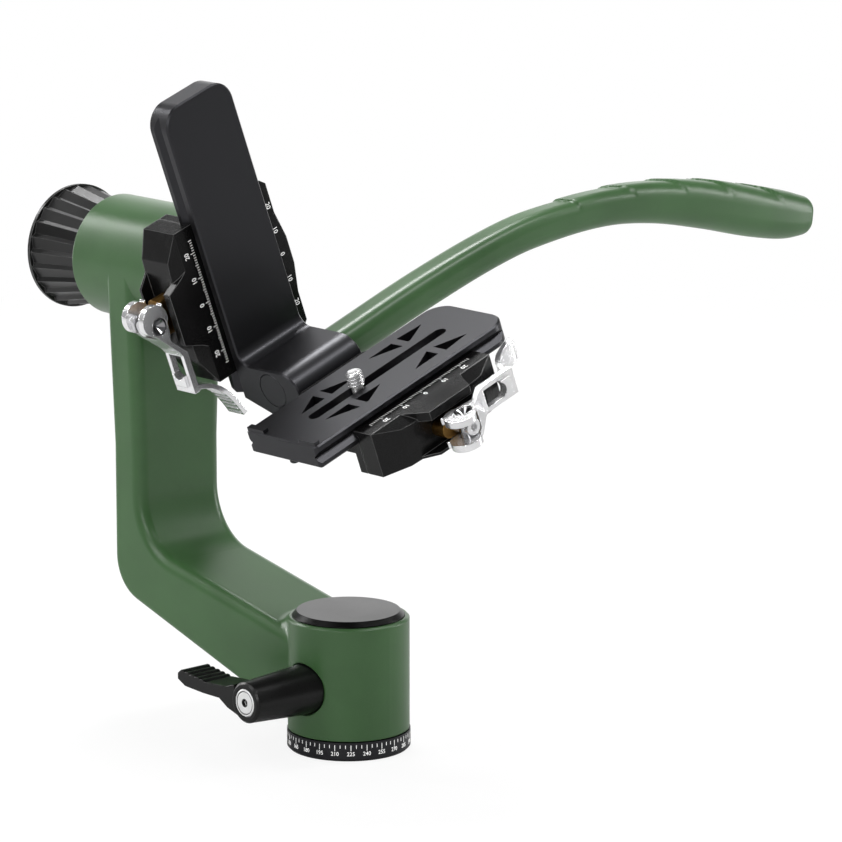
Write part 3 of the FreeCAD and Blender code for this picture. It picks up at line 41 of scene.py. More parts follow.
from typing import Callable, Optional, Sequence, Union

import bmesh
import bpy
from mathutils import Vector

LOG = logging.getLogger("gimbal_head")
MM = 0.001

Number = Union[int, float]
Colour = tuple[float, float, float]
Point2 = tuple[float, float]


class Body(Enum):
    """The moving bodies that carry added pieces."""

    BASE = "base"
    CRADLE = "cradle"
    UPPER_JAW = "upper_jaw"
    UPPER_LEVER = "upper_lever"
    BRACKET = "bracket"
    LOWER_JAW = "lower_jaw"
    LOWER_LEVER = "lower_lever"
    CAMERA_SCREW = "camera_screw"


class Slot(Enum):
    """The record's material slots; no added piece uses them in this script."""

    GREEN = "green_paint"
    BLACK = "black_anodised"
    BRIGHT = "bright_metal"


# ---------------------------------------- shader maths
class Value:
    """A shader socket that takes part in plain arithmetic."""

    def __init__(self, graph: "Graph", socket: bpy.types.NodeSocket) -> None:
        """Keep the socket and the graph that it belongs to."""
        self.graph = graph
        self.socket = socket

    def _math(self, operation: str, *terms: "Term") -> "Value":
        """Add one Math node.

        Args:
            operation: The Math node's operation.
            terms: Its inputs in order, values or numbers.

        Returns:
            The node's result.
        """
        return self.graph.node("ShaderNodeMath", {"operation": operation}, dict(enumerate(terms)))

    def __add__(self, other: "Term") -> "Value":
        """Return self + other."""
        return self._math("ADD", self, other)

    __radd__ = __add__

    def __sub__(self, other: "Term") -> "Value":
        """Return self - other."""
        return self._math("SUBTRACT", self, other)

    def __rsub__(self, other: "Term") -> "Value":
        """Return other - self."""
        return self._math("SUBTRACT", other, self)

    def __mul__(self, other: "Term") -> "Value":
        """Return self * other."""
        return self._math("MULTIPLY", self, other)

    __rmul__ = __mul__

    def __lt__(self, other: "Term") -> "Value":
        """Return 1 where self is below other."""
        return self._math("LESS_THAN", self, other)

    def __gt__(self, other: "Term") -> "Value":
        """Return 1 where self is above other, which is what other < self asks for."""
        return self._math("GREATER_THAN", self, other)

    def sine(self) -> "Value":
        """Return the sine of self."""
        return self._math("SINE", self)

    def magnitude(self) -> "Value":
        """Return self without its sign."""
        return self._math("ABSOLUTE", self)

    def between(self, low: Number, high: Number) -> "Value":
        """Return 0 to 1 as self goes from low to high, held at the ends."""
        return self.graph.node("ShaderNodeMapRange", {"clamp": True},
                               {"Value": self, "From Min": low, "From Max": high})


Term = Union[Value, Number]
Fill = Union[Value, Number, Sequence[float]]


class Graph:
    """The node tree of one material or world."""

    bevel_samples: int = 8
    edge_from: float = 0.01
    edge_full: float = 0.22

    def __init__(self, tree: bpy.types.NodeTree) -> None:
        """Empty the tree and keep it."""
        self.tree = tree
        self.tree.nodes.clear()

    def node(self, kind: str, settings: dict, sockets: dict,
             output: Union[int, str] = 0) -> Optional[Value]:
        """Add a node, set it up and fill its sockets.

        Args:
            kind: The node's type.
            settings: Its properties, which are set first.
            sockets: Socket name or index to a value, a number or a colour.
            output: The output socket that is wanted.

        Returns:
            That output as a value, or None for a node without outputs.
        """
        made = self.tree.nodes.new(kind)
        for name, choice in settings.items():
            setattr(made, name, choice)
        for key, fill in sockets.items():
            self.feed(made.inputs[key], fill)
        return Value(self, made.outputs[output]) if made.outputs else None

    def feed(self, socket: bpy.types.NodeSocket, fill: Fill) -> None:
        """Link a value to a socket, or set a number or colour on it.

        Args:
            socket: The input socket.
            fill: What goes into it.
        """
        if isinstance(fill, Value):
            self.tree.links.new(fill.socket, socket)
        elif isinstance(fill, (int, float)):
            socket.default_value = fill
        elif socket.type == "RGBA":
            socket.default_value = (*fill, 1.0)
        else:
            socket.default_value = tuple(fill)

    def place(self) -> Value:
        """Return the point on the object, in metres from its own origin."""
        return self.node("ShaderNodeTexCoord", {}, {}, "Object")

    def facing(self) -> Value:
        """Return the surface's own normal."""
        return self.node("ShaderNodeNewGeometry", {}, {}, "Normal")

    def vector(self, operation: str, *terms: Fill) -> Value:
        """Return the number that a Vector Math operation gives for its inputs."""
        return self.node("ShaderNodeVectorMath", {"operation": operation},
                         dict(enumerate(terms)), "Value")

    def noise(self, per_metre: Number, detail: Number = 3.0, rough: Number = 0.55) -> Value:
        """Return a cloudy noise from 0 to 1.

        Args:
            per_metre: How many clouds to a metre.
            detail: Layers of finer noise.
            rough: Strength of the finer layers.

        Returns:
            The noise.
        """
        return self.node("ShaderNodeTexNoise", {}, {
            "Vector": self.place(), "Scale": per_metre, "Detail": detail, "Roughness": rough})

    def mix(self, share: Term, first: Fill, second: Fill) -> Value:
        """Blend two colours.

        Args:
            share: 0 for the first colour, 1 for the second.
            first: A colour or value.
            second: A colour or value.

        Returns:
            The blended colour.
        """
        factor, first_colour, second_colour, blend = 0, 6, 7, 2
        return self.node("ShaderNodeMix", {"data_type": "RGBA"},
                         {factor: share, first_colour: first, second_colour: second}, blend)

    def rounded(self, radius: Number) -> Value:
        """Return a normal that rolls over each edge within a radius in metres."""
        return self.node("ShaderNodeBevel", {"samples": self.bevel_samples}, {"Radius": radius})

    def edges(self, radius: Number) -> Value:
        """Return a mask of the edges, 1 on them and 0 on flat faces."""
        match = self.vector("DOT_PRODUCT", self.rounded(radius), self.facing())
        return (1.0 - match).between(self.edge_from, self.edge_full)

    def bump(self, height: Value, depth: Number, normal: Value) -> Value:
        """Return a normal bumped by a height from 0 to 1.

        Args:
            height: The relief.
            depth: Its full depth in metres.
            normal: The normal underneath.

        Returns:
            The bumped normal.
        """
        return self.node("ShaderNodeBump", {},
                         {"Strength": 1.0, "Distance": depth, "Height": height, "Normal": normal})


# ---------------------------------------- finishes
def shade(tone: Colour, share: float) -> Colour:
    """Return a tone made darker or paler by a share."""
    return tuple(share * part for part in tone)


@dataclass(frozen=True)
class Finish:
    """A surface finish with its tone, gloss and grain."""

    name: str
    tone: Colour
    rough: float
    metal: float = 0.0
    gloss: float = 0.5
    glow: float = 0.0
    edge_radius: float = 0.35 * MM
    cloud_per_metre: float = 80.0
    cloud_detail: float = 3.0
    cloud_low: float = 0.3
    cloud_high: float = 0.7
    rough_swing: float = 0.15

    def surface(self, graph: Graph) -> dict:
        """Return what changes over the surface, by socket name."""
        raise NotImplementedError

    def clouds(self, graph: Graph) -> Value:
        """Return the large soft clouds that tone and gloss vary with, from 0 to 1."""
        return graph.noise(self.cloud_per_metre, self.cloud_detail)

    def mottled(self, graph: Graph, cloud: Value, deep: Fill, pale: Fill) -> Value:
        """Return a colour that drifts from deep to pale with the clouds."""
        return graph.mix(cloud.between(self.cloud_low, self.cloud_high), deep, pale)

    def varied(self, cloud: Value) -> Value:
        """Return the roughness, which swings about its own value with the clouds."""
        return self.rough + (cloud - 0.5) * self.rough_swing

    def material(self) -> bpy.types.Material:
        """Build the material, or return it where it is there already.

        Returns:
            The material of this finish.
        """
        known = bpy.data.materials.get(self.name)
        if known:
            return known
        made = bpy.data.materials.new(self.name)
        made.use_nodes = True
        graph = Graph(made.node_tree)
        sockets = {"Base Color": self.tone, "Roughness": self.rough, "Metallic": self.metal,
                   "Specular IOR Level": self.gloss, "Emission Strength": self.glow}
        sockets.update(self.surface(graph))
        shader = graph.node("ShaderNodeBsdfPrincipled", {}, sockets)
        graph.node("ShaderNodeOutputMaterial", {}, {"Surface": shader})
        made.diffuse_color = (*self.tone, 1.0)
        return made


@dataclass(frozen=True)
class SatinPaint(Finish):
    """Baked satin paint over a casting, with a fine orange peel."""

    edge_radius: float = 0.6 * MM
    cloud_per_metre: float = 28.0
    cloud_detail: float = 4.0
    rough_swing: float = 0.1
    drift: float = 0.12
    fleck_per_metre: float = 5200.0
    fleck_low: float = 0.62
    fleck_high: float = 0.8
    fleck_share: float = 0.25
    peel_per_metre: float = 1500.0
    peel_depth: float = 0.012 * MM
    # Pale tone of the painted edge highlight, which the real flecks share too.
    edge_tone: Colour = (0.12, 0.22, 0.105)
    edge_share: float = 0.35

    def surface(self, graph: Graph) -> dict:
        """Lay on the paint's drift, flecks and peel, and paint a pale highlight along its edges.

        Args:
            graph: The material's nodes.

        Returns:
            Tone, gloss and peel by socket name.
        """
        cloud = self.clouds(graph)
        fleck = graph.noise(self.fleck_per_metre, detail=1.0)
        fleck = fleck.between(self.fleck_low, self.fleck_high)
        peel = graph.noise(self.peel_per_metre, detail=2.0)
        tone = self.mottled(graph, cloud, shade(self.tone, 1.0 - self.drift),
                            shade(self.tone, 1.0 + self.drift))
        # The flecks are real pale specks in the paint, in the same pale tone.
        tone = graph.mix(fleck * self.fleck_share, tone, self.edge_tone)
        # Painted highlight: the edges are mixed towards the pale tone.
        tone = graph.mix(graph.edges(self.edge_radius) * self.edge_share, tone, self.edge_tone)
        return {"Base Color": tone, "Roughness": self.varied(cloud),
                "Normal": graph.bump(peel, self.peel_depth, graph.rounded(self.edge_radius))}


@dataclass(frozen=True)
class BeadBlasted(Finish):
    """Bead blasted metal, dyed or clear, with edges rubbed bright and a painted highlight along them.
    """

    cloud_per_metre: float = 45.0
    cloud_detail: float = 4.0
    rough_swing: float = 0.12
    paling: float = 1.18
    bead_per_metre: float = 5200.0
    bead_depth: float = 0.008 * MM
    bead_swing: float = 0.08
    rub_per_metre: float = 420.0
    rub_low: float = 0.35
    rub_high: float = 0.7
    rub_least: float = 0.6
    # Pale tone for the rubbed edges, which also paints a highlight along them.
    edge_tone: Colour = (0.2, 0.2, 0.2)
    edge_share: float = 0.5
    edge_polish: float = 0.1

    def surface(self, graph: Graph) -> dict:
        """Bead the surface, rub its edges and paint a highlight along them.

        Args:
            graph: The material's nodes.

        Returns:
            Tone, gloss and beading by socket name.
        """
        cloud = self.clouds(graph)
        beads = graph.noise(self.bead_per_metre, detail=2.0, rough=0.7)
        rub = graph.noise(self.rub_per_metre).between(self.rub_low, self.rub_high)
        # Rubbed wear along the edges that also carries a painted highlight: the edge mask lightens the
        # tone.
        edge = graph.edges(self.edge_radius) * (self.rub_least + (1.0 - self.rub_least) * rub)
        tone = self.mottled(graph, cloud, self.tone, shade(self.tone, self.paling))
        tone = graph.mix(edge * self.edge_share, tone, self.edge_tone)
        rough = self.varied(cloud) + (beads - 0.5) * self.bead_swing - edge * self.edge_polish
        return {"Base Color": tone, "Roughness": rough,
                "Normal": graph.bump(beads, self.bead_depth, graph.rounded(self.edge_radius))}


@dataclass(frozen=True)
class ChamferedDisc(BeadBlasted):
    """A bead blasted disc whose chamfer is painted deep black as a dark reflection."""

    chamfer_tone: Colour = (0.006, 0.006, 0.006)
    chamfer_metal: float = 0.9
    chamfer_from: float = 0.95

    def surface(self, graph: Graph) -> dict:
        """Paint the chamfer darker than the face, as a painted dark reflection.

        Args:
            graph: The material's nodes.

        Returns:
            The disc's looks by socket name.
        """
        looks = super().surface(graph)
        chamfer = graph.vector("DOT_PRODUCT", graph.facing(), (0.0, 0.0, 1.0)) < self.chamfer_from
        # Painted dark reflection: faces that tip away from straight up take the near black tone.
        looks["Base Color"] = graph.mix(chamfer, looks["Base Color"], self.chamfer_tone)
        looks["Metallic"] = chamfer * self.chamfer_metal
        return looks


@dataclass(frozen=True)
class Turned(Finish):
    """Metal turned on a lathe, with fine rings about an axis through a point."""

    cloud_per_metre: float = 300.0
    cloud_low: float = 0.2
    cloud_high: float = 0.9
    darkening: float = 0.8
    centre: tuple[float, float, float] = (0.0, 0.0, 0.0)
    rings_per_metre: float = 4200.0
    ring_depth: float = 0.006 * MM
    ring_share: float = 0.35
    ring_relief: float = 0.5
    cloud_relief: float = 0.2
    grooves: tuple[float, ...] = ()
    groove_width: float = 0.28 * MM
    groove_flat: float = 0.4
    groove_depth: float = 6.0
    groove_share: float = 0.85
    groove_tone: Colour = (0.02, 0.02, 0.02)
    socket: float = 0.0
    socket_tone: Colour = (0.01, 0.01, 0.01)

    def surface(self, graph: Graph) -> dict:
        """Turn rings and grooves about the centre, with painted shade in the grooves and the socket.

        Args:
            graph: The material's nodes.

        Returns:
            Tone, gloss and rings by socket name.
        """
        radius = graph.vector("DISTANCE", graph.place(), self.centre)
        rings = (radius * (self.rings_per_metre * math.tau)).sine() * 0.5 + 0.5
        cloud = self.clouds(graph)
        tone = self.mottled(graph, rings * self.ring_share + cloud * (1.0 - self.ring_share),
                            shade(self.tone, self.darkening), self.tone)
        height = rings * self.ring_relief + cloud * self.cloud_relief
        for groove in self.grooves:
            cut = (radius - groove).magnitude().between(self.groove_width,
                                                        self.groove_flat * self.groove_width)
            # Painted shade in the groove.
            tone = graph.mix(cut * self.groove_share, tone, self.groove_tone)
            height = height - cut * self.groove_depth
        if self.socket:
            # Painted shade in the socket.
            tone = graph.mix(radius < self.socket, tone, self.socket_tone)
        return {"Base Color": tone, "Roughness": self.varied(cloud),
                "Normal": graph.bump(height, self.ring_depth, graph.rounded(self.edge_radius))}


@dataclass(frozen=True)
class Moulded(Finish):
    """Moulded plastic with a soft matt grain."""

    paling: float = 1.15
    grain_per_metre: float = 2600.0
    grain_depth: float = 0.01 * MM

    def surface(self, graph: Graph) -> dict:
        """Grain the surface.

        Args:
            graph: The material's nodes.

        Returns:
            Tone, gloss and grain by socket name.
        """
        grain = graph.noise(self.grain_per_metre)
        tone = self.mottled(graph, self.clouds(graph), self.tone, shade(self.tone, self.paling))
        return {"Base Color": tone, "Roughness": self.varied(grain),
                "Normal": graph.bump(grain, self.grain_depth, graph.rounded(self.edge_radius))}


@dataclass(frozen=True)
class Printed(Finish):
    """White filled engraving, a little uneven, which glows faintly as painted light."""

    cloud_per_metre: float = 2400.0
    cloud_low: float = 0.45
    cloud_high: float = 0.85
    rough_swing: float = 0.2
    wear: float = 0.75

    def surface(self, graph: Graph) -> dict:
        """Return the uneven white, and the colour of its painted glow, by socket name."""
        worn = self.clouds(graph)
        return {"Base Color": self.mottled(graph, worn, self.tone, shade(self.tone, self.wear)),
                "Roughness": self.varied(worn), "Emission Color": self.tone}


# The edge tones below paint a highlight along the edges; on the bead blasted finishes this also stands
# for rubbed wear.
GREEN = SatinPaint("green_satin_paint", (0.036, 0.095, 0.03), 0.34, gloss=0.45)
BLACK = BeadBlasted("black_anodised", (0.0055, 0.0055, 0.0056), 0.26, gloss=0.35,
                    bead_depth=0.005 * MM, edge_tone=(0.5, 0.5, 0.5), edge_radius=0.5 * MM,
                    edge_share=0.8)
CLAMP_BLACK = BeadBlasted("black_anodised_clamp", (0.0045, 0.0045, 0.0046), 0.26, gloss=0.22,
                          bead_depth=0.002 * MM, edge_tone=(0.4, 0.4, 0.4),
                          edge_radius=0.6 * MM, edge_share=0.4)
CAP_BLACK = ChamferedDisc("black_anodised_cap", (0.016, 0.016, 0.016), 0.36,
                          edge_tone=(0.1, 0.1, 0.1))
KNOB_BLACK = BeadBlasted("black_anodised_knob", (0.006, 0.006, 0.006), 0.3, gloss=0.45,
                         edge_tone=(0.3, 0.3, 0.3), edge_radius=0.3 * MM, edge_share=0.8)
LOCK_BLACK = Moulded("black_lock_casting", (0.0035, 0.0035, 0.0035), 0.3, gloss=0.3,
                     edge_radius=0.5 * MM)
ALLOY = BeadBlasted("clear_anodised_alloy", (0.86, 0.86, 0.87), 0.24, metal=0.88,
                    bead_depth=0.002 * MM, edge_tone=(0.95, 0.95, 0.95), edge_radius=0.3 * MM,
                    edge_share=0.8)
STEEL = Turned("turned_steel", (0.5, 0.5, 0.51), 0.3, metal=1.0)
SCREW_STEEL = BeadBlasted("polished_screw_steel", (0.78, 0.78, 0.79), 0.24, metal=0.8,
                          bead_depth=0.003 * MM, edge_tone=(0.95, 0.95, 0.95))
BARREL_STEEL = BeadBlasted("polished_barrel_steel", (0.34, 0.34, 0.35), 0.16, metal=1.0,
                           bead_depth=0.002 * MM, edge_tone=(0.95, 0.95, 0.95))
BRASS = Turned("turned_brass", (0.36, 0.2, 0.055), 0.36, metal=1.0)
NYLON = Moulded("natural_nylon", (0.6, 0.58, 0.53), 0.55)
DARK_NYLON = Moulded("black_nylon", (0.01, 0.01, 0.01), 0.55)
# The glow on the white fill is painted light, so it reads bright in shade.
INK = Printed("white_scale_fill", (0.93, 0.93, 0.92), 0.5, glow=0.3)


# ---------------------------------------- placement
@dataclass(frozen=True)
class Place:
    """A frame in millimetres: an origin and three unit directions."""

    origin: Vector
    across: Vector
    along: Vector
    out: Vector

    def at(self, across: float, along: float, out: float) -> Vector:
        """Return a point of this frame in the shared frame, in metres."""
        return (self.origin + self.across * across + self.along * along + self.out * out) * MM


AXIS_HEIGHT = 164.75
UPPER_CLAMP_FACE = 62.0
UPPER_PLATE_HALF = 16.3
LOWER_PLATE_HALF = 19.0
LEDGE_REACH = 5.0
LEDGE_DROP = 37.7
REST_TILT = math.radians(20.46)
LENS_WAY = Vector((0.0, math.cos(REST_TILT), math.sin(REST_TILT)))
CRADLE_UP = Vector((0.0, -math.sin(REST_TILT), math.cos(REST_TILT)))
SIDEWAYS = Vector((1.0, 0.0, 0.0))
TILT_CENTRE = Vector((0.0, 0.0, AXIS_HEIGHT))
CRADLE = Place(TILT_CENTRE, SIDEWAYS, LENS_WAY, CRADLE_UP)
UPPER = Place(TILT_CENTRE - SIDEWAYS * UPPER_CLAMP_FACE, -LENS_WAY, -CRADLE_UP, SIDEWAYS)
LOWER = Place(TILT_CENTRE + SIDEWAYS * LEDGE_REACH - CRADLE_UP * LEDGE_DROP,
              SIDEWAYS, LENS_WAY, CRADLE_UP)


def finished(name: str, mesh: bmesh.types.BMesh, finish: Finish, body: Body,
             smooth: float = 0.0) -> bpy.types.Object:
    """Turn a built mesh into a piece that rides a body.

    Args:
        name: The piece's name.
        mesh: The built mesh, in metres in the shared frame.
        finish: Its finish.
        body: The body that carries it.
        smooth: Edges flatter than this many degrees are shaded smooth.

    Returns:
        The piece.
    """
    bmesh.ops.recalc_face_normals(mesh, faces=mesh.faces[:])
    data = bpy.data.meshes.new(name)
    mesh.to_mesh(data)
    mesh.free()
    data.materials.append(finish.material())
    piece = bpy.data.objects.new(name, data)
    bpy.context.scene.collection.objects.link(piece)
    if smooth:
        data.shade_smooth()
        data.set_sharp_from_angle(angle=math.radians(smooth))
    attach(piece, body.value)
    LOG.info("%s rides %s with %d faces", name, body.value, len(data.polygons))
    return piece


def bridge(mesh: bmesh.types.BMesh, loops: list[list[bmesh.types.BMVert]]) -> None:
    """Skin a row of equal closed loops and close both ends.

    Args:
        mesh: The mesh that holds the loops.
        loops: The loops in order, each a list of its vertices.
    """
    count = len(loops[0])
    for first, second in zip(loops, loops[1:]):
        for index in range(count):
            after = (index + 1) % count
            mesh.faces.new((first[index], first[after], second[after], second[index]))
    mesh.faces.new(loops[0][::-1])
    mesh.faces.new(loops[-1])


def dress(finish: Finish, *nodes: str) -> None:
    """Give carried-over CAD nodes a finish.

    Args:
        finish: The finish.
        nodes: The nodes' names.
    """
    material = finish.material()
    for name in nodes:
        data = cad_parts[name].data
        data.materials.clear()
        data.materials.append(material)
    LOG.info("%s on %s", finish.name, ", ".join(nodes))


# ---------------------------------------- scales
Bend = Callable[[float, float, float], Vector]


@dataclass
class Scale:
    """White marks and numbers that are filled into a surface."""

    name: str
    body: Body
    bend: Bend
    thickness: float = 0.04
    sink: float = 0.02
    narrow: float = 0.95
    bold: float = 0.006
    digit_share: float = 0.69
    roundness: int = 3
    mesh: bmesh.types.BMesh = field(default_factory=bmesh.new)

    def bar(self, left: float, right: float, low: float, high: float) -> None:
        """Add a small upright block between two widths and two heights, in millimetres."""
        corners = ((left, low), (right, low), (right, high), (left, high))
        bridge(self.mesh, [[self.mesh.verts.new(self.bend(x, y, out)) for x, y in corners]
                           for out in (-self.sink, self.thickness)])

    def number(self, text: str, middle: float, base: float, height: float) -> None:
        """Add a number.

        Args:
            text: The digits.
            middle: Where its middle stands along the scale.
            base: Height of its foot.
            height: Height of the digits, all in millimetres.
        """
        curve = bpy.data.curves.new("digits", "FONT")
        curve.body = text
        curve.size = height / self.digit_share
        curve.align_x = "CENTER"
        curve.extrude = (self.thickness + self.sink) / 2
        curve.offset = self.bold * height
        curve.resolution_u = self.roundness
        holder = bpy.data.objects.new("digits", curve)
        flat = bpy.data.meshes.new_from_object(holder)
        lift = (self.thickness - self.sink) / 2
        for vertex in flat.vertices:
            x, y, out = vertex.co
            vertex.co = self.bend(middle + x * self.narrow, base + y, out + lift)
        self.mesh.from_mesh(flat)
        bpy.data.objects.remove(holder)
        bpy.data.curves.remove(curve)
        bpy.data.meshes.remove(flat)

    def build(self) -> bpy.types.Object:
        """Return the scale as one piece."""
        return finished(self.name, self.mesh, INK, self.body)


@dataclass
class DegreeRing:
    """The degree scale round the base."""

    radius: float = 22.5
    tick_top: float = 6.15
    short_foot: float = 4.9
    long_foot: float = 4.0
    tick_half: float = 0.11
    number_foot: float = 2.2
    number_height: float = 1.45
    zero_angle: float = 95.4
    tick_step: int = 5
    number_step: int = 15

    def bend(self, middle: float) -> Bend:
        """Bend a flat strip round the base.

        Args:
            middle: Angle in degrees where the strip's middle stands.

        Returns:
            The map from the strip to the ring.
        """
        def curved(x: float, y: float, out: float) -> Vector:
            """Return a point of the ring, in metres."""
            angle, reach = math.radians(middle) + x / self.radius, self.radius + out
            return Vector((reach * math.cos(angle), reach * math.sin(angle), y)) * MM
        return curved

    def build(self) -> bpy.types.Object:
        """Mark every tick and number.

        Returns:
            The ring's marks as one piece.
        """
        scale = Scale("degree_scale", Body.BASE, self.bend(0.0))
        for degree in range(0, 360, self.tick_step):
            scale.bend = self.bend(self.zero_angle + degree)
            labelled = degree % self.number_step == 0
            foot = self.long_foot if labelled else self.short_foot
            scale.bar(-self.tick_half, self.tick_half, foot, self.tick_top)
            if labelled:
                scale.number(str(degree), 0.0, self.number_foot, self.number_height)
        return scale.build()


@dataclass
class JawScale:
    """The millimetre scale along one jaw of a lever clamp."""

    name: str
    body: Body
    place: Place
    plate_half: float
    side: float = 1.0
    reach: int = 25
    five_step: int = 5
    ten_step: int = 10
    last_label: int = 20
    thickness: float = 0.03
    jaw_top: float = 4.6
    tick_foot: float = 0.8
    tick_top: float = 1.9
    five_top: float = 2.3
    ten_top: float = 2.8
    tick_half: float = 0.1
    number_foot: float = 3.75
    number_height: float = 1.95

    def bend(self, x: float, y: float, out: float) -> Vector:
        """Map reading direction, distance from the plate and height to the jaw's top."""
        return self.place.at(self.side * (self.plate_half + y), -self.side * x, self.jaw_top + out)

    def build(self) -> bpy.types.Object:
        """Mark every tick and number.

        Returns:
            The scale as one piece.
        """
        scale = Scale(self.name, self.body, self.bend, thickness=self.thickness)
        for step in range(-self.reach, self.reach + 1):
            top = self.tick_top
            if step % self.ten_step == 0:
                top = self.ten_top
            elif step % self.five_step == 0:
                top = self.five_top
            scale.bar(step - self.tick_half, step + self.tick_half, self.tick_foot, top)
        for step in range(-self.last_label, self.last_label + 1, self.ten_step):
            scale.number(str(abs(step)), float(step), self.number_foot, self.number_height)
        return scale.build()


# ---------------------------------------- sub-assemblies
class SubAssembly:
    """A group of pieces that are made and finished together."""

    def build(self) -> None:
        """Make the added pieces, where there are any."""

    def dress(self) -> None:
        """Finish the nodes that come from the CAD model."""
        raise NotImplementedError


@dataclass
class PanBase(SubAssembly):
    """Degree ring, housing cap and the hidden pan bearing."""

    ring: DegreeRing = field(default_factory=DegreeRing)

    def build(self) -> None:
        """Make the degree scale."""
        self.ring.build()

    def dress(self) -> None:
        """Finish the base's nodes."""
        dress(BLACK, "base_plate")
        dress(CAP_BLACK, "base_cap")
        dress(STEEL, "tripod_thread_bush", "pan_spindle", "base_screws", "pan_washer", "pan_nut")
        dress(NYLON, "pan_thrust_ring")
        dress(BRASS, "pan_bearing_sleeve")


@dataclass
class PanLock(SubAssembly):
    """The pan lock's lever with its bright screw."""

    height: float = 25.0
    front: float = 49.6
    disc_groove: float = 4.15
    disc_socket: float = 1.55
    disc_tone: Colour = (0.9, 0.9, 0.9)
    disc_rough: float = 0.35
    disc_metal: float = 0.6
    disc_rings_per_metre: float = 3200.0

    def dress(self) -> None:
        """Finish the lock's nodes."""
        centre = (0.0, -self.front * MM, self.height * MM)
        disc = Turned("turned_lock_disc", self.disc_tone, self.disc_rough, self.disc_metal,
                      centre=centre, rings_per_metre=self.disc_rings_per_metre,
                      grooves=(self.disc_groove * MM,), socket=self.disc_socket * MM)
        dress(LOCK_BLACK, "pan_lock_lever")
        dress(disc, "pan_lock_screw")
        dress(STEEL, "pan_lock_stud")
        dress(NYLON, "lock_pad")


@dataclass
class ArmAndKnob(SubAssembly):
    """The painted arm, its tilt bearings and the tilt knob."""

    def dress(self) -> None:
        """Finish the arm's and the knob's nodes."""
        dress(GREEN, "main_arm")
        dress(KNOB_BLACK, "tilt_knob", "knob_cap")
        dress(BRASS, "knob_insert")
        dress(STEEL, "tilt_bearings", "tilt_spindle", "bearing_spacer")
        dress(DARK_NYLON, "tilt_friction_disc")


@dataclass
class LeverClamp(SubAssembly):
    """One lever clamp: its scales, the ribs of its lever and its finishes."""

    prefix: str
    place: Place
    plate_half: float
    body_carrier: Body
    jaw_carrier: Body
    lever_carrier: Body
    pin_reach: float = 22.8
    grip_inset: float = 6.0
    grip_thickness: float = 2.6
    grip_end: float = 31.2
    tail_thickness: float = 1.9
    tail_steps: tuple[Point2, ...] = (
        (-7.4, 1.2), (-10.2, 3.7), (-12.8, 6.9), (-14.9, 10.7), (-16.6, 14.6), (-18.0, 18.6))
    tail_leans: tuple[Point2, ...] = (
        (0.56, 0.83), (0.7, 0.71), (0.83, 0.56), (0.9, 0.43), (0.94, 0.35), (0.95, 0.3))
    tail_low: float = -9.3
    tail_high: float = -0.5
    rib_half: float = 0.32
    rib_margin: float = 0.7
    rib_profile: tuple[Point2, ...] = (
        (-1.0, -0.3), (-0.8, 0.5), (-0.3, 0.95), (0.3, 0.95), (0.8, 0.5), (1.0, -0.3))
    ribs: int = 9
    rib_smooth: float = 40.0
    far_number_foot: float = 3.1

    def tail_face(self) -> list[Point2]:
        """Follow the ribbed face of the lever's tail.

        Returns:
            Its points, out from the plate and along the clamp.
        """
        grip_back = self.plate_half + self.pin_reach - self.grip_inset - self.grip_thickness
        thick = self.tail_thickness
        return [(grip_back + step[0] + thick * lean[0], self.grip_end + step[1] + thick * lean[1])
                for step, lean in zip(self.tail_steps, self.tail_leans)]

    def rib(self, mesh: bmesh.types.BMesh, foot: Point2, way: Point2, out: Point2) -> None:
        """Add one rounded rib across the tail.

        Args:
            mesh: The mesh that it goes into.
            foot: Its middle on the tail's face.
            way: Unit direction along the face.
            out: Unit direction away from the face.
        """
        ends = (self.tail_low + self.rib_margin, self.tail_high - self.rib_margin)
        bridge(mesh, [[mesh.verts.new(self.place.at(
            foot[0] + self.rib_half * (a * way[0] + b * out[0]),
            foot[1] + self.rib_half * (a * way[1] + b * out[1]), level))
            for a, b in self.rib_profile] for level in ends])

    def build(self) -> None:
        """Make both scales and the lever's ribs."""
        JawScale(f"{self.prefix}_jaw_scale", self.jaw_carrier, self.place, self.plate_half).build()
        JawScale(f"{self.prefix}_body_scale", self.body_carrier, self.place, self.plate_half,
                 side=-1.0, number_foot=self.far_number_foot).build()
        face = self.tail_face()
        mesh = bmesh.new()
        for index in range(self.ribs):
            share = (index + 0.5) / self.ribs * (len(face) - 1)
            start = int(share)
            part = share - start
            first, second = face[start], face[start + 1]
            run = (second[0] - first[0], second[1] - first[1])
            length = math.hypot(*run)
            way = (run[0] / length, run[1] / length)
            foot = (first[0] + run[0] * part, first[1] + run[1] * part)
            self.rib(mesh, foot, way, (way[1], -way[0]))
        finished(f"{self.prefix}_lever_ribs", mesh, ALLOY, self.lever_carrier,
                 self.rib_smooth)

    def dress(self) -> None:
        """Finish the clamp's nodes."""
        name = self.prefix
        dress(CLAMP_BLACK, f"{name}_clamp_body", f"{name}_clamp_jaw")
        dress(ALLOY, f"{name}_clamp_lever", f"{name}_lever_catch")
        dress(BARREL_STEEL, f"{name}_lever_barrel")
        dress(SCREW_STEEL, f"{name}_draw_screw")
        dress(BRASS, f"{name}_brass_shoe")
        dress(STEEL, f"{name}_guide_pins", f"{name}_jaw_springs", f"{name}_clamp_screws")


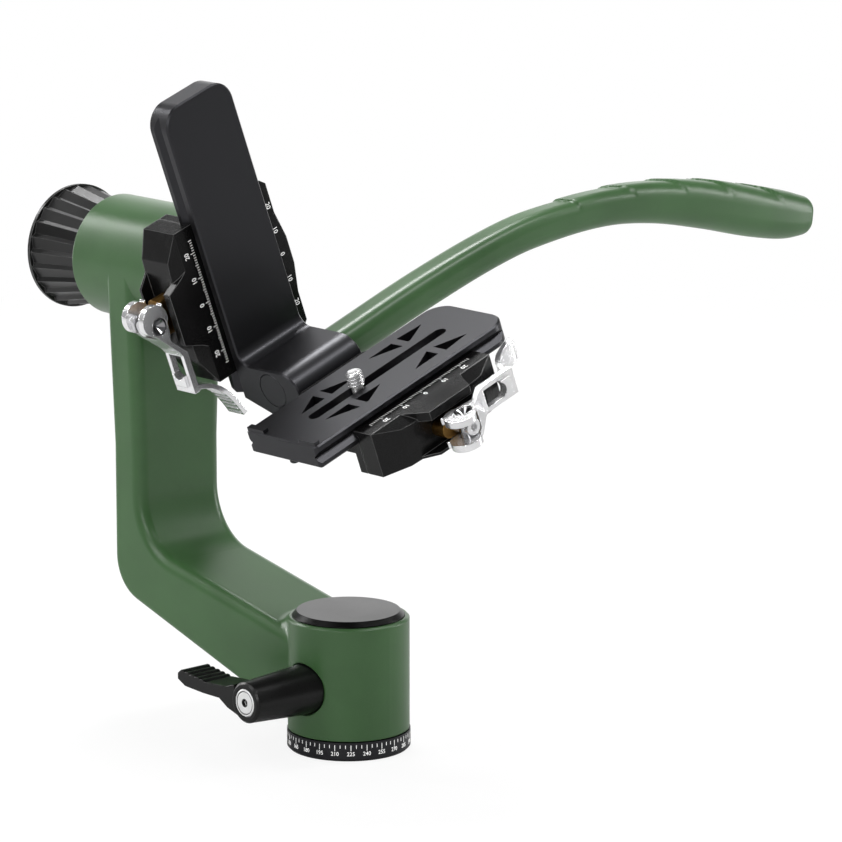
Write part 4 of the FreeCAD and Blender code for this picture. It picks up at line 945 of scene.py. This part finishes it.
@dataclass
class PanHandle(SubAssembly):
    """The curved panning handle with stepped finger grips along its top."""

    side: float = -37.5
    stations: tuple[tuple[float, float, float, float], ...] = (
        (16.36, -34.0, 15.0, 13.5), (63.0, -33.7, 15.0, 13.3), (100.0, -35.3, 15.0, 13.0),
        (118.0, -37.6, 15.0, 13.1), (158.0, -47.5, 15.4, 14.4), (183.0, -57.8, 16.4, 17.0),
        (207.0, -71.0, 18.2, 19.5), (232.0, -87.0, 18.6, 20.5), (247.0, -96.2, 17.4, 19.0),
        (257.0, -101.4, 15.5, 15.0))
    steps: tuple[tuple[float, float], ...] = (
        (137.7, 140.8), (159.0, 169.0), (179.5, 193.5), (198.3, 215.2), (216.5, 240.5))
    step_depth: float = 0.75
    step_run: float = 20.0
    step_curve: float = 1.3
    step_from: float = 0.35
    step_fade: float = 0.4
    lip_run: float = 1.2
    rings: int = 420
    corner_share: float = 0.38
    corner_points: int = 9
    side_points: int = 9
    end_round: float = 2.6
    end_share: float = 0.55
    lean_span: float = 0.01
    smooth_angle: float = 40.0

    def part_at(self, along: float) -> float:
        """Find a distance along the lens among the stations.

        Args:
            along: The distance in millimetres.

        Returns:
            The station before it, and its share of the way to the next one.
        """
        for index, (first, second) in enumerate(zip(self.stations, self.stations[1:])):
            if along <= second[0]:
                return index + (along - first[0]) / (second[0] - first[0])
        return float(len(self.stations) - 1)

    def curve(self, part: float) -> tuple[float, float, float, float]:
        """Return the station at a share of the handle's stations, smoothly joined.

        Args:
            part: 0 at the first station, and their count less one at the last.

        Returns:
            Distance along the lens, height, width and thickness in millimetres.
        """
        last = len(self.stations) - 1
        index = min(int(part), last - 1)
        share = part - index
        picks = [self.stations[max(0, min(last, index + shift))] for shift in (-1, 0, 1, 2)]
        gaps = [max(1.0, picks[k + 1][0] - picks[k][0]) for k in range(3)]
        result = []
        for column in range(4):
            before, here, there, after = (pick[column] for pick in picks)
            rise = there - here
            slope_here = (rise / gaps[1] + (here - before) / gaps[0]) / 2 * gaps[1]
            slope_there = (rise / gaps[1] + (after - there) / gaps[2]) / 2 * gaps[1]
            if index == 0:
                slope_here = rise
            if index == last - 1:
                slope_there = rise
            square, cube = share * share, share ** 3
            result.append((2 * cube - 3 * square + 1) * here + (cube - 2 * square + share) * slope_here
                          + (3 * square - 2 * cube) * there + (cube - square) * slope_there)
        return tuple(result)

    def section(self, wide: float, tall: float) -> list[Point2]:
        """Draw a rounded rectangle, which is the handle's section.

        Args:
            wide: Its width.
            tall: Its height.

        Returns:
            Its points, sideways and upward, all in millimetres.
        """
        radius = self.corner_share * tall
        half, rise = wide / 2 - radius, tall / 2 - radius
        points = []
        corners = ((half, rise, 0.0), (-half, rise, 90.0), (-half, -rise, 180.0), (half, -rise, 270.0))
        for index, (x, y, start) in enumerate(corners):
            for step in range(self.corner_points):
                angle = math.radians(start + 90.0 * step / (self.corner_points - 1))
                points.append((x + radius * math.cos(angle), y + radius * math.sin(angle)))
            after = corners[(index + 1) % 4]
            last = math.radians(start + 90.0)
            first = (x + radius * math.cos(last), y + radius * math.sin(last))
            second = (after[0] + radius * math.cos(last), after[1] + radius * math.sin(last))
            for step in range(1, self.side_points):
                share = step / self.side_points
                points.append((first[0] + (second[0] - first[0]) * share,
                               first[1] + (second[1] - first[1]) * share))
        return points

    def hollow(self, along: float, sideways: float, upward: float, wide: float, tall: float) -> float:
        """Return how far the finger steps lower the surface at a point.

        Args:
            along: Distance along the lens.
            sideways: Distance from the handle's middle plane.
            upward: Distance over the handle's middle line.
            wide: The handle's width there.
            tall: Its thickness there.

        Returns:
            The depth in millimetres.
        """
        top = max(0.0, min(1.0, (upward / (tall / 2) - self.step_from) / self.step_fade))
        across = sideways / wide + 0.5
        places = [far + (near - far) * across for far, near in self.steps]
        ahead = [place - along for place in places if place > along]
        if not ahead:
            return 0.0
        share = max(0.0, 1.0 - ahead[0] / self.step_run)
        behind = [along - place for place in places if place <= along]
        lip = min(1.0, behind[-1] / self.lip_run) if behind else 1.0
        return self.step_depth * top * top * (3 - 2 * top) * share ** self.step_curve * lip

    def build(self) -> None:
        """Make the handle in place of its plain solid."""
        mesh = bmesh.new()
        loops = []
        span = len(self.stations) - 1
        total = self.stations[-1][0] - self.stations[0][0]
        for ring in range(self.rings + 1):
            part = self.part_at(self.stations[0][0] + total * ring / self.rings)
            along, up, wide, tall = self.curve(part)
            ahead = self.curve(min(span, part + self.lean_span))
            back = self.curve(max(0.0, part - self.lean_span))
            # The first ring stands upright, flat against the bracket.
            lean = math.atan2(ahead[1] - back[1], ahead[0] - back[0]) if ring else 0.0
            left = max(0.0, 1.0 - (self.stations[-1][0] - along) / self.end_round)
            shrink = self.end_round * (1.0 - math.sqrt(1.0 - left * left)) * self.end_share
            loop = []
            for x, y in self.section(wide - 2 * shrink, tall - 2 * shrink):
                y -= self.hollow(along, x, y, wide, tall) if y > 0 else 0.0
                loop.append(mesh.verts.new(CRADLE.at(
                    self.side + x, along - y * math.sin(lean), up + y * math.cos(lean))))
            loops.append(loop)
        bridge(mesh, loops)
        grip = finished("stepped_handle", mesh, GREEN, Body.BRACKET,
                        self.smooth_angle)
        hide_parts("handle")

    def dress(self) -> None:
        """Finish the plain solid too, which stays for collision."""
        dress(GREEN, "handle")


@dataclass
class Bracket(SubAssembly):
    """The L bracket with its plug and handle bolt."""

    def dress(self) -> None:
        """Finish the bracket's nodes."""
        dress(BLACK, "l_bracket", "bracket_plug")
        dress(STEEL, "handle_bolt")


@dataclass
class LensPlate(SubAssembly):
    """The dovetail plate and its camera screw with a cut thread."""

    place: float = -10.5
    floor: float = 8.7
    head_low: float = 0.6
    head_high: float = 4.0
    head_radius: float = 5.3
    head_chamfer: float = 0.4
    neck_radius: float = 2.3
    thread_radius: float = 3.175
    thread_depth: float = 0.65
    thread_foot: float = 0.6
    thread_top: float = 6.4
    thread_chamfer: float = 0.25
    thread_reach: float = 0.82
    thread_flank: float = 0.62
    run_in: float = 0.8
    run_out: float = 0.7
    run_out_from: float = 0.15
    run_out_least: float = 0.25
    neck_sink: float = 0.5
    pitch: float = 1.27
    sides: int = 64
    rows: int = 120
    smooth_angle: float = 35.0

    def thread(self, height: float, angle: float) -> float:
        """Return the thread's radius at a height over the plate and an angle.

        Args:
            height: Height over the plate in millimetres.
            angle: Angle round the screw in radians.

        Returns:
            The radius in millimetres.
        """
        turn = (height / self.pitch - angle / math.tau) % 1.0
        ridge = abs(turn - 0.5) * 2.0
        profile = max(0.0, min(1.0, (self.thread_reach - ridge) / self.thread_flank))
        rising = max(0.0, min(1.0, (height - self.thread_foot) / self.run_in))
        left = self.thread_top - self.run_out_from - height
        falling = max(0.0, min(1.0, left / self.run_out))
        core = self.thread_radius - self.thread_depth
        falling = min(1.0, falling + self.run_out_least)
        return core + self.thread_depth * profile * rising * falling

    def build(self) -> None:
        """Make the camera screw with a real helix in place of its rings."""
        chamfer = self.head_chamfer
        profile = [(self.head_radius - chamfer, self.head_low),
                   (self.head_radius, self.head_low + chamfer),
                   (self.head_radius, self.head_high), (self.neck_radius, self.head_high),
                   (self.neck_radius, self.floor + self.thread_foot * self.neck_sink)]
        rows = [[radius] * self.sides + [level] for radius, level in profile]
        run = self.thread_top - self.thread_chamfer - self.thread_foot
        for row in range(self.rows + 1):
            height = self.thread_foot + run * row / self.rows
            ring = [self.thread(height, math.tau * side / self.sides) for side in range(self.sides)]
            rows.append(ring + [self.floor + height])
        tip = self.thread_radius - self.thread_depth - self.thread_chamfer
        rows.append([tip] * self.sides + [self.floor + self.thread_top])
        mesh = bmesh.new()
        loops = []
        for row in rows:
            loops.append([mesh.verts.new(LOWER.at(
                row[side] * math.cos(math.tau * side / self.sides),
                self.place + row[side] * math.sin(math.tau * side / self.sides), row[-1]))
                for side in range(self.sides)])
        bridge(mesh, loops)
        screw = finished("threaded_camera_screw", mesh, SCREW_STEEL, Body.CAMERA_SCREW,
                         self.smooth_angle)
        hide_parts("camera_screw")

    def dress(self) -> None:
        """Finish the plate's nodes."""
        dress(BLACK, "lens_plate", "plate_stop_pins")
        dress(SCREW_STEEL, "camera_screw")
        dress(NYLON, "screw_slide_washer")


# ---------------------------------------- studio
@dataclass(frozen=True)
class SoftBox:
    """A soft lamp; its way goes from the object towards the camera, right and up."""

    name: str
    way: tuple[float, float, float]
    reach: float
    size: Point2
    power: float


SOFT_BOXES = (
    SoftBox("key_box", way=(0.5, -1.0, 0.75), reach=1.3, size=(0.6, 0.9), power=6.0),
    SoftBox("front_strip", way=(1.0, -0.3, 0.2), reach=1.5, size=(0.1, 1.0), power=5.0),
    SoftBox("back_box", way=(-1.0, -0.15, 0.37), reach=2.0, size=(3.2, 1.15), power=16.0),
    SoftBox("left_edge_box", way=(-0.6, -1.0, 0.4), reach=1.2, size=(0.12, 1.2), power=9.0),
    SoftBox("right_edge_box", way=(-0.35, 1.0, 0.35), reach=1.2, size=(0.1, 1.1), power=7.0),
    SoftBox("fold_strip", way=(0.14, 0.47, 0.86), reach=1.2, size=(0.9, 0.08), power=5.0),
    SoftBox("top_box", way=(-0.55, -0.15, 1.0), reach=1.2, size=(0.5, 0.3), power=10.0),
)


@dataclass
class Studio:
    """Camera, lamps, floor and white surround."""

    lens: float = 205.22
    sensor: float = 36.0
    camera_at: tuple[float, float, float] = (1.2626, -1.1180, 0.4817)
    gaze: tuple[float, float, float] = (-0.7218, 0.6595, -0.2093)
    target: tuple[float, float, float] = (-0.01, 0.06, 0.13)
    ambient: float = 0.3
    mirrored: float = 0.16
    floor_half: float = 12.0
    floor_gap: float = 0.0002
    floor_tone: Colour = (0.85, 0.85, 0.85)
    floor_dark: Colour = (0.1, 0.1, 0.1)
    floor_glow: float = 0.86
    floor_dim: float = 0.5
    fade_from: float = 0.3
    fade_to: float = 0.9

    def camera(self) -> None:
        """Make the camera at the viewing angle."""
        data = bpy.data.cameras.new("camera")
        data.lens = self.lens
        data.sensor_width = self.sensor
        camera = bpy.data.objects.new("camera", data)
        camera.location = self.camera_at
        camera.rotation_euler = Vector(self.gaze).to_track_quat("-Z", "Y").to_euler()
        bpy.context.scene.collection.objects.link(camera)
        bpy.context.scene.camera = camera

    def hang(self, box: SoftBox) -> None:
        """Hang a soft box that looks at the object.

        Args:
            box: The soft box, its reach and size in metres and its power in watts.
        """
        back = -Vector(self.gaze)
        right = Vector((-back.y, back.x, 0.0)).normalized()
        upward = Vector((0.0, 0.0, 1.0))
        way_out = (back * box.way[0] + right * box.way[1] + upward * box.way[2]).normalized()
        data = bpy.data.lights.new(box.name, "AREA")
        data.shape = "RECTANGLE"
        data.size, data.size_y = box.size
        data.energy = box.power
        lamp = bpy.data.objects.new(box.name, data)
        lamp.location = Vector(self.target) + way_out * box.reach
        lamp.rotation_euler = (-way_out).to_track_quat("-Z", "Y").to_euler()
        bpy.context.scene.collection.objects.link(lamp)

    def world(self) -> None:
        """Make an even surround that is white behind the object and dim in reflections."""
        world = bpy.data.worlds.new("surround")
        bpy.context.scene.world = world
        world.use_nodes = True
        graph = Graph(world.node_tree)
        camera, glossy = self.rays(graph)
        strength = (self.ambient + camera * (1.0 - self.ambient)
                    - glossy * (self.ambient - self.mirrored))
        light = graph.node("ShaderNodeBackground", {}, {"Color": strength, "Strength": 1.0})
        graph.node("ShaderNodeOutputWorld", {}, {"Surface": light})

    def rays(self, graph: Graph) -> tuple[Value, Value]:
        """Return two masks: 1 for rays from the camera, and 1 for rays from a reflection."""
        return (graph.node("ShaderNodeLightPath", {}, {}, "Is Camera Ray"),
                graph.node("ShaderNodeLightPath", {}, {}, "Is Glossy Ray"))

    def floor(self) -> None:
        """Lay a pale floor that keeps the object's soft shadow."""
        mesh = bmesh.new()
        bmesh.ops.create_grid(mesh, x_segments=1, y_segments=1, size=self.floor_half)
        data = bpy.data.meshes.new("floor")
        mesh.to_mesh(data)
        mesh.free()
        floor = bpy.data.objects.new("floor", data)
        floor.location.z = -self.floor_gap
        bpy.context.scene.collection.objects.link(floor)
        material = bpy.data.materials.new("pale_floor")
        material.use_nodes = True
        graph = Graph(material.node_tree)
        camera, glossy = self.rays(graph)
        fade = graph.vector("LENGTH", graph.place()).between(self.fade_from, self.fade_to)
        share = camera * (self.floor_glow + fade * (1.0 - self.floor_glow))
        matt = graph.node("ShaderNodeBsdfDiffuse", {}, {"Color": self.floor_tone})
        dark = graph.node("ShaderNodeBsdfDiffuse", {}, {"Color": self.floor_dark})
        glow = graph.node("ShaderNodeEmission", {}, {"Color": (1.0, 1.0, 1.0), "Strength": 1.0})
        plain = graph.node("ShaderNodeMixShader", {}, {0: share, 1: matt, 2: glow})
        surface = graph.node("ShaderNodeMixShader", {},
                             {0: glossy * self.floor_dim, 1: plain, 2: dark})
        graph.node("ShaderNodeOutputMaterial", {}, {"Surface": surface})
        data.materials.append(material)

    def build(self) -> None:
        """Set up the whole studio."""
        self.camera()
        self.world()
        self.floor()
        for box in SOFT_BOXES:
            self.hang(box)
        bpy.context.scene.view_settings.view_transform = "Standard"


def main() -> None:
    """Build the studio and dress every sub-assembly."""
    logging.basicConfig(level=logging.INFO, format="%(message)s")
    Studio().build()
    assemblies = [
        PanBase(),
        PanLock(),
        ArmAndKnob(),
        LeverClamp("upper", UPPER, UPPER_PLATE_HALF, Body.CRADLE, Body.UPPER_JAW,
                   Body.UPPER_LEVER),
        LeverClamp("lower", LOWER, LOWER_PLATE_HALF, Body.BRACKET, Body.LOWER_JAW,
                   Body.LOWER_LEVER),
        Bracket(),
        PanHandle(),
        LensPlate(),
    ]
    for assembly in assemblies:
        assembly.build()
        assembly.dress()
        LOG.info("%s is done", type(assembly).__name__)


if __name__ == "__main__":
    main()
